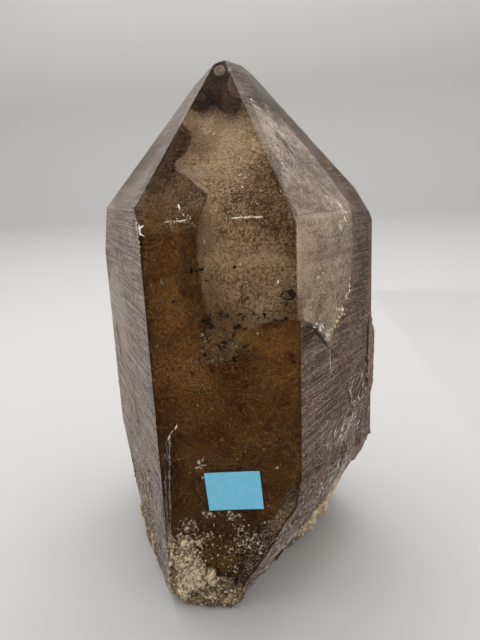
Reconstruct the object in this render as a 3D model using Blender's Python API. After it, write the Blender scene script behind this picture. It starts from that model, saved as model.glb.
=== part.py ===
# Smoky quartz crystal standing on its cut foot, with a small blank paper label.
#
# The long axis of the crystal is +Z and passes through the origin, which is the point on the
# resting face right under the tip. The broad front prism face looks towards -Y.
# A turn is an angle about the long axis: 0 looks to the front (-Y), 90 to the right (+X).

import math

import bmesh
import bpy
from mathutils import Matrix, Vector, noise

MM = 0.001

# Whole crystal
CRYSTAL_HEIGHT = 238.2  # foot to the broken tip
BLOCK_HALF_WIDTH = 200.0  # rough block that the faces are cleaved from
BLOCK_TOP = 320.0
RHOMB_SLOPE = 51.8  # tilt of every termination face from level, fixed by the quartz lattice

# Six prism faces: turn, distance from the long axis at the shoulder, height of the shoulder, and
# the lean that widens the crystal towards its foot
PRISM_FACES = {
    "front": (0, 54.0, 174.3, 0.0),
    "right": (60, 55.6, 172.1, 0.0),
    "back_right": (120, 61.3, 177.0, 3.0),
    "back": (180, 66.0, 163.0, 0.6),
    "back_left": (-120, 73.0, 155.0, 3.0),
    "left": (-60, 50.4, 178.4, 0.0),
}

# Small steep face on the shoulder's right corner: turn, slope, distance from the axis, height
CORNER_FACE = (90, 62.0, 61.5, 180.0)

# Break across the very tip: turn, slope, distance from the axis, height
TIP_BREAK = (-120, 24.0, -3.4, CRYSTAL_HEIGHT)

# Broken flanks of the foot, which undercut the prism: turn, undercut from upright, and distance
# from the long axis at floor level
FOOT_BREAKS = {
    "right_flank": (56, 22.5, 29.5),
    "rear_left_flank": (-125, 40.0, 32.0),
    "rear_flank": (165, 24.0, 48.0),
    "front_left_chip": (-38, 34.0, 54.5),
}

# Plates of parallel growth, fused to the prism. Each follows one prism face, set back from it or
# proud of it. Its free edge looks the same way as another prism face, at a reach from the long
# axis at the plate's foot, and leans inwards above. The slopes of its two ends are from level.
GROWTH_PLATES = {
    "right_plate": dict(
        side="right", proud=-1.4, thickness=15.0, edge="back_right", reach=73.0, lean=0.5,
        depth=14.0, foot=80.0, top=109.0, foot_slope=58.0, top_slope=66.0,
    ),
    "left_plate": dict(
        side="left", proud=-0.8, thickness=13.0, edge="back_left", reach=85.6, lean=6.8,
        depth=15.0, foot=72.0, top=140.0, foot_slope=30.0, top_slope=50.0,
    ),
    "rear_plate": dict(
        side="back", proud=2.2, thickness=14.0, edge="back_right", reach=38.0, lean=1.0,
        depth=46.0, foot=78.0, top=121.0, foot_slope=32.0, top_slope=28.0,
    ),
}

# Lumps of crust grown on the foot: centre, half sizes and a seed for the uneven skin
CRUST_LUMPS = {
    "front_crust": ((-14.0, -50.0, 10.5), (15.0, 6.5, 14.0), 3),
    "right_crust": ((33.5, 1.0, 11.0), (7.5, 15.0, 9.5), 8),
}
CRUST_ROUGHNESS = 0.16  # share of a lump's size
CRUST_GRAIN = 1.7  # bumps across a lump
CRUST_CLEARANCE = 0.4  # the crust stays just above the resting face

# Blank label on the front face, turned a little as it was stuck on
LABEL_WIDTH = 23.7
LABEL_HEIGHT = 18.2
LABEL_THICKNESS = 0.2
LABEL_CENTRE_X = 4.4
LABEL_CENTRE_Z = 60.7
LABEL_TURN = 4.3
GLUE_GAP = 0.3

QUARTZ_COLOUR = (0.30, 0.19, 0.10, 1.0)
PAPER_COLOUR = (0.22, 0.55, 0.68, 1.0)


def clear_scene():
    for item in list(bpy.data.objects):
        bpy.data.objects.remove(item, do_unlink=True)


def new_collection(name):
    collection = bpy.data.collections.new(name)
    bpy.context.scene.collection.children.link(collection)
    return collection


def principled(name, colour, roughness, transmission=0.0):
    material = bpy.data.materials.new(name)
    material.use_nodes = True
    shader = material.node_tree.nodes["Principled BSDF"]
    shader.inputs["Base Color"].default_value = colour
    shader.inputs["Roughness"].default_value = roughness
    shader.inputs["Metallic"].default_value = 0.0
    shader.inputs["Transmission Weight"].default_value = transmission
    return material


def outward(turn, slope=90.0):
    # Outward normal of a face that looks to a turn and is tilted by a slope from level.
    level = math.sin(math.radians(slope))
    rise = math.cos(math.radians(slope))
    angle = math.radians(turn)
    return Vector((math.sin(angle) * level, -math.cos(angle) * level, rise))


def place(turn, distance, height):
    # The point at a distance from the long axis, on the side that a turn looks to.
    return (outward(turn) * distance + Vector((0.0, 0.0, height))) * MM


def rough_block():
    # A closed block around the long axis, from the floor to above the tip.
    block = bmesh.new()
    size = Vector((2 * BLOCK_HALF_WIDTH, 2 * BLOCK_HALF_WIDTH, BLOCK_TOP)) * MM
    centre = Matrix.Translation((0.0, 0.0, BLOCK_TOP * MM / 2))
    bmesh.ops.create_cube(block, size=1.0, matrix=centre @ Matrix.Diagonal((*size, 1.0)))
    return block


def cleave(block, point, normal):
    # Cuts away all that lies outside a plane and closes the cut with one flat face.
    everything = block.verts[:] + block.edges[:] + block.faces[:]
    cut = bmesh.ops.bisect_plane(
        block, geom=everything, dist=1e-7, plane_co=point, plane_no=normal, clear_outer=True
    )
    rim = [item for item in cut["geom_cut"] if isinstance(item, bmesh.types.BMEdge)]
    if rim:
        bmesh.ops.edgeloop_fill(block, edges=rim)


def finish_block(block, name, collection):
    bmesh.ops.dissolve_degenerate(block, dist=1e-6, edges=block.edges[:])
    bmesh.ops.recalc_face_normals(block, faces=block.faces[:])
    mesh = bpy.data.meshes.new(name)
    block.to_mesh(mesh)
    block.free()
    item = bpy.data.objects.new(name, mesh)
    collection.objects.link(item)
    return item


def cleave_crystal():
    # The single crystal: prism, termination, corner face, tip break and broken foot.
    block = rough_block()
    for turn, distance, shoulder, lean in PRISM_FACES.values():
        corner = place(turn, distance, shoulder)
        cleave(block, corner, outward(turn, 90.0 - lean))
        cleave(block, corner, outward(turn, RHOMB_SLOPE))
    for turn, slope, distance, height in (CORNER_FACE, TIP_BREAK):
        cleave(block, place(turn, distance, height), outward(turn, slope))
    for turn, undercut, distance in FOOT_BREAKS.values():
        cleave(block, place(turn, distance, 0.0), outward(turn, 90.0 + undercut))
    return block


def cleave_plate(side, proud, thickness, edge, reach, lean, depth, foot, top, foot_slope, top_slope):
    # One plate of parallel growth, bounded by the same directions as the prism.
    block = rough_block()
    turn, distance, shoulder, side_lean = PRISM_FACES[side]
    face_out = distance + proud + (shoulder - foot) * math.tan(math.radians(side_lean))
    top_reach = reach - (top - foot) * math.tan(math.radians(lean))
    edge_turn = PRISM_FACES[edge][0]
    cleave(block, place(turn, face_out, foot), outward(turn, 90.0 - side_lean))
    cleave(block, place(turn, face_out - thickness, foot), -outward(turn, 90.0 - side_lean))
    cleave(block, place(edge_turn, reach, foot), outward(edge_turn, 90.0 - lean))
    cleave(block, place(edge_turn, top_reach - depth, foot), -outward(edge_turn))
    cleave(block, place(edge_turn, top_reach, top), outward(edge_turn, top_slope))
    cleave(block, place(edge_turn, reach, foot), outward(edge_turn, 180.0 - foot_slope))
    return block


def shape_crust(centre, half_sizes, seed):
    # A closed, uneven lump, levelled off just above the floor.
    block = bmesh.new()
    bmesh.ops.create_icosphere(block, subdivisions=2, radius=1.0)
    for vert in block.verts:
        bump = noise.noise(vert.co * CRUST_GRAIN + Vector((seed, 0.0, 0.0)))
        vert.co *= 1.0 + CRUST_ROUGHNESS * bump
        vert.co = Vector(c + h * v for c, h, v in zip(centre, half_sizes, vert.co)) * MM
    cleave(block, Vector((0.0, 0.0, CRUST_CLEARANCE)) * MM, Vector((0.0, 0.0, -1.0)))
    return block


def fuse(crystal, name, block, guides):
    # Joins a grown-on shape to the crystal, so that both are one solid.
    item = finish_block(block, name, guides)
    item.hide_render = True
    item.display_type = "WIRE"
    union = crystal.modifiers.new(name, "BOOLEAN")
    union.operation = "UNION"
    union.solver = "EXACT"
    union.object = item


def make_label(collection):
    block = bmesh.new()
    size = Vector((LABEL_WIDTH, LABEL_THICKNESS, LABEL_HEIGHT)) * MM
    bmesh.ops.create_cube(block, size=1.0, matrix=Matrix.Diagonal((*size, 1.0)))
    label = finish_block(block, "paper_label", collection)
    front = PRISM_FACES["front"][1]
    behind = front + GLUE_GAP + LABEL_THICKNESS / 2
    label.location = Vector((LABEL_CENTRE_X, -behind, LABEL_CENTRE_Z)) * MM
    label.rotation_euler = (0.0, -math.radians(LABEL_TURN), 0.0)
    return label


def main():
    clear_scene()
    parts = new_collection("smoky_quartz")
    guides = new_collection("growth_guides")
    crystal = finish_block(cleave_crystal(), "quartz_crystal", parts)
    crystal.data.materials.append(principled("smoky_quartz", QUARTZ_COLOUR, 0.12, 0.8))
    for name, plate in GROWTH_PLATES.items():
        fuse(crystal, name, cleave_plate(**plate), guides)
    for name, lump in CRUST_LUMPS.items():
        fuse(crystal, name, shape_crust(*lump), guides)
    label = make_label(parts)
    label.data.materials.append(principled("blue_paper", PAPER_COLOUR, 0.75))


main()
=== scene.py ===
import math

import bmesh
import bpy
import numpy as np
from mathutils import Matrix, Vector
from mathutils.bvhtree import BVHTree


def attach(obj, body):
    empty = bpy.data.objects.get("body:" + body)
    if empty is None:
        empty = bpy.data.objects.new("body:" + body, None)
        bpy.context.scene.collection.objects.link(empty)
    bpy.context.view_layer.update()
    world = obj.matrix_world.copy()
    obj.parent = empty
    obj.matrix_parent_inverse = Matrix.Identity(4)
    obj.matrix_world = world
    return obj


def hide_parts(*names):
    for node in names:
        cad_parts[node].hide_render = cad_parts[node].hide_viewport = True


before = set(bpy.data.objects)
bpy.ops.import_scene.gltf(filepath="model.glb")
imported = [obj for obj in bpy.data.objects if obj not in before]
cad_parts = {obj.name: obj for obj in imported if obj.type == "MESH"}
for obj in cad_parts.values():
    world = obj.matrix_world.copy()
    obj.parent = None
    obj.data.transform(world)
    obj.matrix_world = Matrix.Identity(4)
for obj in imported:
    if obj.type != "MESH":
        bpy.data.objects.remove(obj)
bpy.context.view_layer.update()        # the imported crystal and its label, in metres
mm = 0.001

# Looking from the front, X runs to the right, Y away from the viewer and Z up. A turn is an
# angle round the crystal: 0 is its front, 90 its right side. Sizes below are in millimetres.
# A place on a side of the crystal is given as (across to the right, height).

viewSettings = {
    "eye": (30.1, -229.3, 183.0),
    "turn": 6.57,            # how far to the right of the front the camera stands
    "pitch": 14.99,
    "roll": 2.37,
    "lens": 26.8,
}

studioSettings = {
    "sheetShadeColours": (         # height on the pale sheet, colour; painted shade: darkest low on the fold, lighter towards the top
        (0, (0.418, 0.413, 0.407, 1.0)),
        (60, (0.36, 0.358, 0.353, 1.0)),
        (125, (0.285, 0.283, 0.279, 1.0)),
        (620, (0.44, 0.437, 0.427, 1.0)),
    ),
    "wallTurn": -3.0,        # the wall isn't quite square to the view
    "foldStart": 620.0,      # from the crystal to where the sheet starts to rise
    "foldRadius": 420.0,
    "wallHeight": 2600.0,
    "domeStrength": 1.38,
    "domeColour": (1.0, 0.985, 0.97, 1.0),
    "domeFront": (-0.85, -0.15, 0.6),   # where it starts to brighten, is full, and its share in front
    "seenColour": (0.62, 0.615, 0.6, 1.0),   # what the camera sees past the sheet
    "lamps": {
        "softboxLeft": {"size": 900, "at": (-1100, 100, 900), "aim": (0, 0, 80), "power": 1.8},
        "softboxRight": {"size": 800, "at": (1050, 150, 800), "aim": (0, 0, 60), "power": 0.5},
        "softboxTop": {"size": 1500, "at": (-40, 680, 1400), "aim": (0, 60, 0), "power": 30.0},
    },
    "cards": {                # dark cards that only the shine of the crystal picks up
        "floorCard": {"low": (-700, -1500, 1.5), "high": (700, -62, 1.5), "grey": 0.012},
        "frontCard": {"low": (-900, -1500, 0.0), "high": (900, -1500, 1300.0), "grey": 0.012},
        "ceilingCard": {"low": (-800, -1500, 1300.0), "high": (800, 560, 1300.0), "grey": 0.02},
        "sideCard": {"low": (170, -300, 1.5), "high": (1500, 900, 1.5), "grey": 0.06},
    },
}


def linkToScene(item):
    bpy.context.scene.collection.objects.link(item)
    return item


def meshObject(name, verts, faces, smooth=True, cleanup=False):
    # verts are in millimetres
    mesh = bpy.data.meshes.new(name)
    mesh.from_pydata((np.asarray(verts, float) * mm).tolist(), [], [list(map(int, f)) for f in faces])
    if cleanup:
        block = bmesh.new()
        block.from_mesh(mesh)
        bmesh.ops.remove_doubles(block, verts=block.verts[:], dist=2e-6)
        bmesh.ops.dissolve_degenerate(block, dist=1e-7, edges=block.edges[:])
        block.to_mesh(mesh)
        block.free()
    if smooth:
        mesh.shade_smooth()
    return linkToScene(bpy.data.objects.new(name, mesh))


def finishPiece(piece, material, slot, *replaced):
    # every piece belongs to the one body of the crystal
    piece.data.materials.append(material)
    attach(piece, "root")
    if replaced:
        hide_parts(*replaced)
    print(f"{piece.name}: {len(piece.data.polygons)} faces")


def addAttribute(mesh, name, values):
    layer = mesh.attributes.new(name, "FLOAT", "POINT")
    layer.data.foreach_set("value", np.asarray(values, np.float32))


def vertexArray(mesh, field="co"):
    # positions in millimetres, or normals
    values = np.empty(len(mesh.vertices) * 3)
    mesh.vertices.foreach_get(field, values)
    return values.reshape(-1, 3) / (mm if field == "co" else 1.0)


def gridQuads(shape):
    # the corners of every square of a grid, as places in its flat list of points
    index = np.arange(shape[0] * shape[1]).reshape(shape)
    return np.stack((index[:-1, :-1], index[:-1, 1:], index[1:, 1:], index[1:, :-1]), -1)


# Shader helpers

def addNode(tree, kind, **values):
    # values are settings of the node, or else its sockets
    node = tree.nodes.new("ShaderNode" + kind)
    for key, value in values.items():
        if hasattr(node, key):
            setattr(node, key, value)
        else:
            node.inputs[key].default_value = value
    return node


def newMaterial(name, **values):
    # a Principled material; values are its sockets, with _ for a space
    material = bpy.data.materials.new(name)
    material.use_nodes = True
    shader = material.node_tree.nodes["Principled BSDF"]
    for key, value in values.items():
        shader.inputs[key.replace("_", " ")].default_value = value
    return material, material.node_tree, shader


def mathNode(tree, operation, first, second, third=None, clamp=False):
    # inputs are numbers or sockets; gives the output socket
    node = addNode(tree, "Math", operation=operation, use_clamp=clamp)
    for socket, value in zip(node.inputs, (first, second, third)):
        if hasattr(value, "is_output"):
            tree.links.new(value, socket)
        elif value is not None:
            socket.default_value = value
    return node.outputs[0]


def mixColours(tree, factor, first, second):
    # colours are tuples or sockets
    node = addNode(tree, "Mix", data_type="RGBA")
    tree.links.new(factor, node.inputs["Factor"])
    for key, value in (("A", first), ("B", second)):
        socket = [item for item in node.inputs if item.name == key and item.type == "RGBA"][0]
        if hasattr(value, "is_output"):
            tree.links.new(value, socket)
        else:
            socket.default_value = value
    return [item for item in node.outputs if item.type == "RGBA"][0]


def attributeValue(tree, name):
    return addNode(tree, "Attribute", attribute_name=name).outputs["Fac"]


def addBump(tree, shader, height, strength, distance):
    # distance is in millimetres
    bump = addNode(tree, "Bump", Strength=strength, Distance=distance * mm)
    tree.links.new(height, bump.inputs["Height"])
    tree.links.new(bump.outputs["Normal"], shader.inputs["Normal"])


# Patterns that several materials share. Each is a group with sizes in millimetres and one mask,
# and its Low and High set the contrast of that mask.

def startGroup(name, **inputs):
    tree = bpy.data.node_groups.new(name, "ShaderNodeTree")
    for label, default in {**inputs, "Seed": 0.0}.items():
        socket = tree.interface.new_socket(label, in_out="INPUT", socket_type="NodeSocketFloat")
        socket.default_value = default
    tree.interface.new_socket("Mask", in_out="OUTPUT", socket_type="NodeSocketFloat")
    return tree, tree.nodes.new("NodeGroupInput")


def seededNoise(tree, given, **values):
    noise = addNode(tree, "TexNoise", noise_dimensions="4D", **values)
    tree.links.new(given.outputs["Seed"], noise.inputs["W"])
    return noise


def finishGroup(tree, given, value):
    spread = addNode(tree, "MapRange", interpolation_type="SMOOTHSTEP")
    ends = {"Value": value, "From Min": given.outputs["Low"], "From Max": given.outputs["High"]}
    for key, end in ends.items():
        tree.links.new(end, spread.inputs[key])
    result = tree.nodes.new("NodeGroupOutput")
    tree.links.new(spread.outputs["Result"], result.inputs["Mask"])
    return tree


def placeGroup(tree, group, **values):
    node = addNode(tree, "Group")
    node.node_tree = group
    for key, value in values.items():
        node.inputs[key].default_value = value
    return node.outputs[0]


def makeStriaeGroup():
    # fine level growth lines: spacing across and reach along
    tree, given = startGroup("growthStriae", Spacing=1.0, Reach=20.0, Low=0.3, High=0.7)
    link = tree.links.new
    axes = addNode(tree, "SeparateXYZ")
    link(addNode(tree, "TexCoord").outputs["Object"], axes.inputs["Vector"])
    joined = addNode(tree, "CombineXYZ")
    for axis, size in (("X", "Reach"), ("Y", "Reach"), ("Z", "Spacing")):
        inMm = mathNode(tree, "MULTIPLY", axes.outputs[axis], 1.0 / mm)
        link(mathNode(tree, "DIVIDE", inMm, given.outputs[size]), joined.inputs[axis])
    noise = seededNoise(tree, given, Scale=1.0, Detail=2.0, Roughness=0.6)
    link(joined.outputs["Vector"], noise.inputs["Vector"])
    return finishGroup(tree, given, noise.outputs["Fac"])


def makeMottleGroup():
    # mottling at one size
    tree, given = startGroup("mottling", Size=1.0, Low=0.35, High=0.65, Detail=4.0)
    link = tree.links.new
    noise = seededNoise(tree, given, Roughness=0.65)
    link(given.outputs["Detail"], noise.inputs["Detail"])
    link(addNode(tree, "TexCoord").outputs["Object"], noise.inputs["Vector"])
    link(mathNode(tree, "DIVIDE", 1.0 / mm, given.outputs["Size"]), noise.inputs["Scale"])
    return finishGroup(tree, given, noise.outputs["Fac"])


def makeGrainGroup():
    # salt and pepper: every small cell has a value of its own
    tree, given = startGroup("fineGrain", Size=0.7, Low=0.1, High=0.9)
    link = tree.links.new
    shifted = addNode(tree, "VectorMath", operation="ADD")
    link(addNode(tree, "TexCoord").outputs["Object"], shifted.inputs[0])
    link(given.outputs["Seed"], shifted.inputs[1])
    cells = addNode(tree, "TexVoronoi")
    link(shifted.outputs["Vector"], cells.inputs["Vector"])
    link(mathNode(tree, "DIVIDE", 1.0 / mm, given.outputs["Size"]), cells.inputs["Scale"])
    split = addNode(tree, "SeparateColor")
    link(cells.outputs["Color"], split.inputs["Color"])
    return finishGroup(tree, given, split.outputs["Red"])


def makeFibreGroup():
    # streaks of broken quartz, along the direction that the piece's attributes give
    tree, given = startGroup("fibreStreaks", Width=0.8, Reach=9.0, Low=0.3, High=0.7)
    link = tree.links.new
    joined = addNode(tree, "CombineXYZ")
    for axis, key, size in (("X", "fibreAlong", "Reach"), ("Y", "fibreAcross", "Width")):
        link(mathNode(tree, "DIVIDE", attributeValue(tree, key), given.outputs[size]), joined.inputs[axis])
    noise = seededNoise(tree, given, Scale=1.0, Detail=3.0, Roughness=0.6)
    link(joined.outputs["Vector"], noise.inputs["Vector"])
    return finishGroup(tree, given, noise.outputs["Fac"])


# Camera, floor and light

def makeCamera(settings):
    turn, pitch, roll = (math.radians(settings[key]) for key in ("turn", "pitch", "roll"))
    ahead = Vector((-math.sin(turn), math.cos(turn), 0.0))
    right = Vector((math.cos(turn), math.sin(turn), 0.0))
    upright = Vector((0.0, 0.0, 1.0))
    look = ahead * math.cos(pitch) - upright * math.sin(pitch)
    top = ahead * math.sin(pitch) + upright * math.cos(pitch)
    sideways = right * math.cos(roll) - top * math.sin(roll)
    upwards = right * math.sin(roll) + top * math.cos(roll)
    data = bpy.data.cameras.new("photoView")
    data.lens = settings["lens"]
    data.sensor_width = 36.0
    data.clip_start = 0.01
    camera = linkToScene(bpy.data.objects.new("photoView", data))
    axes = Matrix((sideways, upwards, -look)).transposed()
    camera.matrix_world = Matrix.Translation(Vector(settings["eye"]) * mm) @ axes.to_4x4()
    bpy.context.scene.camera = camera


def makeBackdrop(settings):
    # a pale sheet that lies flat, folds up softly and stands as a wall; its colour by height holds painted
    # shade, darkest low on the fold
    start, radius, height = settings["foldStart"], settings["foldRadius"], settings["wallHeight"]
    profile = [(-2600.0, 0.0), (start, 0.0)]
    for angle in np.linspace(0.0, math.pi / 2, 28)[1:]:
        profile.append((start + radius * math.sin(angle), radius * (1 - math.cos(angle))))
    profile.append((start + radius, height))
    verts = [(x, y, z) for x in (-3000.0, 3000.0) for y, z in profile]
    n = len(profile)
    faces = [(i, i + n, i + n + 1, i + 1) for i in range(n - 1)]
    backdrop = meshObject("backdrop", verts, faces)
    backdrop.rotation_euler = (0.0, 0.0, math.radians(settings["wallTurn"]))
    material, tree, shader = newMaterial("paleSheetWithPaintedShade", Roughness=0.75)
    axes = addNode(tree, "SeparateXYZ")
    climb = addNode(tree, "MapRange")
    top = settings["sheetShadeColours"][-1][0]
    climb.inputs["From Max"].default_value = top * mm
    ramp = addNode(tree, "ValToRGB")
    for place, (level, colour) in enumerate(settings["sheetShadeColours"]):
        stop = ramp.color_ramp.elements[place] if place < 2 else ramp.color_ramp.elements.new(1.0)
        stop.position = level / top
        stop.color = colour
    tree.links.new(addNode(tree, "NewGeometry").outputs["Position"], axes.inputs["Vector"])
    tree.links.new(axes.outputs["Z"], climb.inputs["Value"])
    tree.links.new(climb.outputs["Result"], ramp.inputs["Fac"])
    tree.links.new(ramp.outputs["Color"], shader.inputs["Base Color"])
    backdrop.data.materials.append(material)


def makeCards(settings):
    for name, card in settings["cards"].items():
        low, high = np.array(card["low"], float), np.array(card["high"], float)
        first, second = np.diag(high - low)[high != low]
        item = meshObject(name, [low, low + first, high, low + second], [(0, 1, 2, 3)])
        grey = card["grey"]
        material, _, _ = newMaterial(name, Base_Color=(grey, grey * 0.95, grey * 0.9, 1.0), Roughness=1.0)
        item.data.materials.append(material)
        item.visible_camera = False
        item.visible_diffuse = False
        item.visible_transmission = False
        item.visible_shadow = False


def makeLights(settings):
    world = bpy.data.worlds.new("paleRoom")
    bpy.context.scene.world = world
    world.use_nodes = True
    tree = world.node_tree
    background = tree.nodes["Background"]
    axes = addNode(tree, "SeparateXYZ")
    front = addNode(tree, "MapRange")      # dimmer where the photographer stands
    for key, value in zip(("From Min", "From Max", "To Min"), settings["domeFront"]):
        front.inputs[key].default_value = value
    tree.links.new(addNode(tree, "TexCoord").outputs["Generated"], axes.inputs["Vector"])
    tree.links.new(axes.outputs["Y"], front.inputs["Value"])
    shade = mixColours(tree, front.outputs["Result"], (0.0, 0.0, 0.0, 1.0), settings["domeColour"])
    seen = addNode(tree, "LightPath").outputs["Is Camera Ray"]
    tree.links.new(mixColours(tree, seen, shade, settings["seenColour"]), background.inputs["Color"])
    background.inputs["Strength"].default_value = settings["domeStrength"]
    for name, lamp in settings["lamps"].items():
        data = bpy.data.lights.new(name, "AREA")
        data.size = lamp["size"] * mm
        data.energy = lamp["power"]
        item = linkToScene(bpy.data.objects.new(name, data))
        item.location = Vector(lamp["at"]) * mm
        aim = Vector(lamp["aim"]) - Vector(lamp["at"])
        item.rotation_euler = aim.to_track_quat("-Z", "Y").to_euler()


# Repeatable noise on arrays

def cellValue(ix, iy, iz, seed):
    # one value from -1 to 1 for each whole-number cell
    n = (ix * 374761393 + iy * 668265263 + iz * 2147483647 + seed * 1274126177) & 0xFFFFFFFF
    n = ((n ^ (n >> 13)) * 1274126177) & 0xFFFFFFFF
    n = ((n ^ (n >> 16)) * 2246822519) & 0xFFFFFFFF
    return ((n ^ (n >> 15)) & 0xFFFF) / 32767.5 - 1.0


def softNoise(x, y, z, seed=0):
    # smooth noise from -1 to 1, with cells of size 1
    x, y, z = np.broadcast_arrays(*(np.asarray(v, float) for v in (x, y, z)))
    ix, iy, iz = (np.floor(v).astype(np.int64) for v in (x, y, z))
    fx, fy, fz = x - ix, y - iy, z - iz
    fx, fy, fz = (f * f * (3.0 - 2.0 * f) for f in (fx, fy, fz))
    total = np.zeros(x.shape)
    for dx in (0, 1):
        for dy in (0, 1):
            for dz in (0, 1):
                share = (fx if dx else 1 - fx) * (fy if dy else 1 - fy) * (fz if dz else 1 - fz)
                total += share * cellValue(ix + dx, iy + dy, iz + dz, seed)
    return total


def layeredNoise(x, y, z, seed=0, layers=4, fade=0.5):
    # each layer is about half the size of the last and weaker by fade
    total, size, reach = 0.0, 1.0, 0.0
    for layer in range(layers):
        scale = 2.03 ** layer
        total = total + size * softNoise(x * scale, y * scale, z * scale, seed + 17 * layer)
        reach += size
        size *= fade
    return total / reach


def rise(value, low, high):
    # a soft step from 0 at low to 1 at high
    t = np.clip((np.asarray(value, float) - low) / (high - low), 0.0, 1.0)
    return t * t * (3.0 - 2.0 * t)


def between(limits, share):
    return limits[0] + (limits[1] - limits[0]) * share


def patches(s, z, blobs, seed=0):
    # soft uneven patches: across, height, half width, half height, strength
    total = np.zeros(np.shape(s))
    for number, (acrossAt, heightAt, halfWidth, halfHeight, strength) in enumerate(blobs):
        wobble = 0.4 * layeredNoise(s / (0.5 * halfWidth), z / (0.5 * halfHeight), number, seed, 3)
        reach = np.hypot((s - acrossAt) / halfWidth, (z - heightAt) / halfHeight) + wobble
        total += strength * (1 - rise(reach, 0.45, 1.2))
    return total


# The flat faces of the crystal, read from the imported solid. A slope is a tilt from level.

rhombSlope = 51.8            # tilt of the termination faces of quartz

# name: turn, the slopes of its faces from the foot up, and columns across
crystalSides = {
    "rearLeftFlank": (-125, (130.0,), 20),
    "backLeft": (-120, (87.0, rhombSlope, 24.0), 30),
    "left": (-60, (90.0, rhombSlope), 46),
    "frontLeftChip": (-38, (124.0,), 6),
    "front": (0, (90.0, rhombSlope), 56),
    "rightFlank": (56, (112.5,), 44),
    "right": (60, (90.0, rhombSlope), 44),
    "rightCorner": (90, (62.0,), 5),
    "backRight": (120, (87.0, rhombSlope), 30),
    "rearFlank": (165, (114.0,), 16),
    "back": (180, (89.4, rhombSlope), 28),
}


def outward(turn, slope=90.0):
    # the direction that a face looks to
    level, climb = math.sin(math.radians(slope)), math.cos(math.radians(slope))
    return np.array((math.sin(math.radians(turn)) * level, -math.cos(math.radians(turn)) * level, climb))


def alongSide(turn):
    # level, to the right across a side
    return np.array((math.cos(math.radians(turn)), math.sin(math.radians(turn)), 0.0))


def facePlane(turn, slope):
    # the largest flat face of the solid that looks this way: its normal, and its distance
    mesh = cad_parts["quartz_crystal"].data
    wanted = Vector(outward(turn, slope))
    areas = {}
    for polygon in mesh.polygons:
        if polygon.normal.angle(wanted) < math.radians(1.2):
            reach = round(polygon.normal.dot(polygon.center) / mm, 1)
            areas[reach] = areas.get(reach, 0.0) + polygon.area
    if not areas:
        raise ValueError(f"the solid has no face that looks to {turn}, {slope}")
    return np.array(wanted), max(areas, key=areas.get)


sidePlanes = {
    name: [facePlane(turn, slope) for slope in slopes]
    for name, (turn, slopes, _) in crystalSides.items()
}


def under(name, s, z, depth=0.0):
    # points at a depth behind the outer surface, looking square at one side; edges come out soft
    turn = crystalSides[name][0]
    out, along = outward(turn), alongSide(turn)
    s, z, depth = np.broadcast_arrays(*(np.asarray(v, float) for v in (s, z, depth)))
    reaches = []
    for other, planes in sidePlanes.items():
        if (name, other) == ("front", "rightFlank"):
            continue     # the front runs on over the chipped edge of the flank
        for normal, distance in planes:
            lean = normal @ out
            if lean > 0.05:
                reaches.append((distance - s * (normal @ along) - z * normal[2]) / lean)
    reaches = np.array(reaches)
    nearest = reaches.min(0)
    reach = nearest - np.log(np.exp(nearest - reaches).sum(0))
    points = s[..., None] * along + (reach - depth)[..., None] * out
    points[..., 2] = z
    return points


def sideReach(name, z):
    # how far a side is from the long axis at a height: the nearest of its faces
    out = outward(crystalSides[name][0])
    return min((distance - normal[2] * z) / (normal @ out) for normal, distance in sidePlanes[name])


def meet(nameA, reachA, nameB, reachB):
    # where two sides cross in plan
    rows = np.array([outward(crystalSides[name][0])[:2] for name in (nameA, nameB)])
    return np.linalg.solve(rows, np.array((reachA, reachB)))


def shownSides(reaches):
    # the sides that show at one height, in their order round the crystal
    shown = list(reaches)
    changed = True
    while changed and len(shown) > 2:
        changed = False
        for place, name in enumerate(shown):
            before, after = shown[place - 1], shown[(place + 1) % len(shown)]
            gap = (crystalSides[after][0] - crystalSides[before][0]) % 360
            if gap >= 180 - 1e-6:
                continue
            corner = meet(before, reaches[before], after, reaches[after])
            if corner @ outward(crystalSides[name][0])[:2] <= reaches[name] + 1e-9:
                shown.pop(place)
                changed = True
                break
    return shown


# The foot is chipped at both ends of its right flank: height, and how far across each end lies
frontFootEnd = (
    (0, 1.0), (5, 3.6), (14, 8.2), (21.9, 13.4), (34.4, 20.6), (46.3, 26.2), (49.1, 28.8), (53.5, 31.0),
    (59.8, 31.9), (67.8, 33.0),
)
flankFootEnd = (
    (0, 37), (8, 39), (17, 38), (23, 37.2), (29, 36.8), (33.5, 38), (36, 46), (38, 54), (42, 62),
)
rearFootChip = (20.0, 16.5)   # the corner behind it: how high its chip reaches, and its depth at the floor


def chipFoot(corners, z):
    # moves the corners at one height in, where the foot is chipped
    if z < frontFootEnd[-1][0]:
        corners["front"][0] = max(corners["front"][0], np.interp(z, *zip(*frontFootEnd)))
    if z < flankFootEnd[-1][0]:
        chipped = rearFootChip[1] * max(1 - z / rearFootChip[0], 0.0)
        corners["backRight"] = corners.get("backRight", corners["rightFlank"]) - (chipped, 0.0)
        along = alongSide(crystalSides["rightFlank"][0])[:2]
        excess = corners["rightFlank"] @ along - np.interp(z, *zip(*flankFootEnd))
        corners["rightFlank"] = corners["rightFlank"] - max(excess, 0.0) * along


def ringAt(z):
    # the start and end of each side at one height; a side that doesn't show is one point
    reaches = {name: sideReach(name, z) for name in crystalSides}
    shown = shownSides(reaches)
    corners = {}
    for place, name in enumerate(shown):
        after = shown[(place + 1) % len(shown)]
        corners[name] = meet(name, reaches[name], after, reaches[after])
    chipFoot(corners, z)
    ring, before = [], shown[-1]
    for name in crystalSides:
        start = corners[before]
        if name in corners:
            before = name
        ring.append((name, start, corners[before]))
    return ring


# The skin of the crystal: flat faces with growth lines, ledges and broken places

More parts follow.
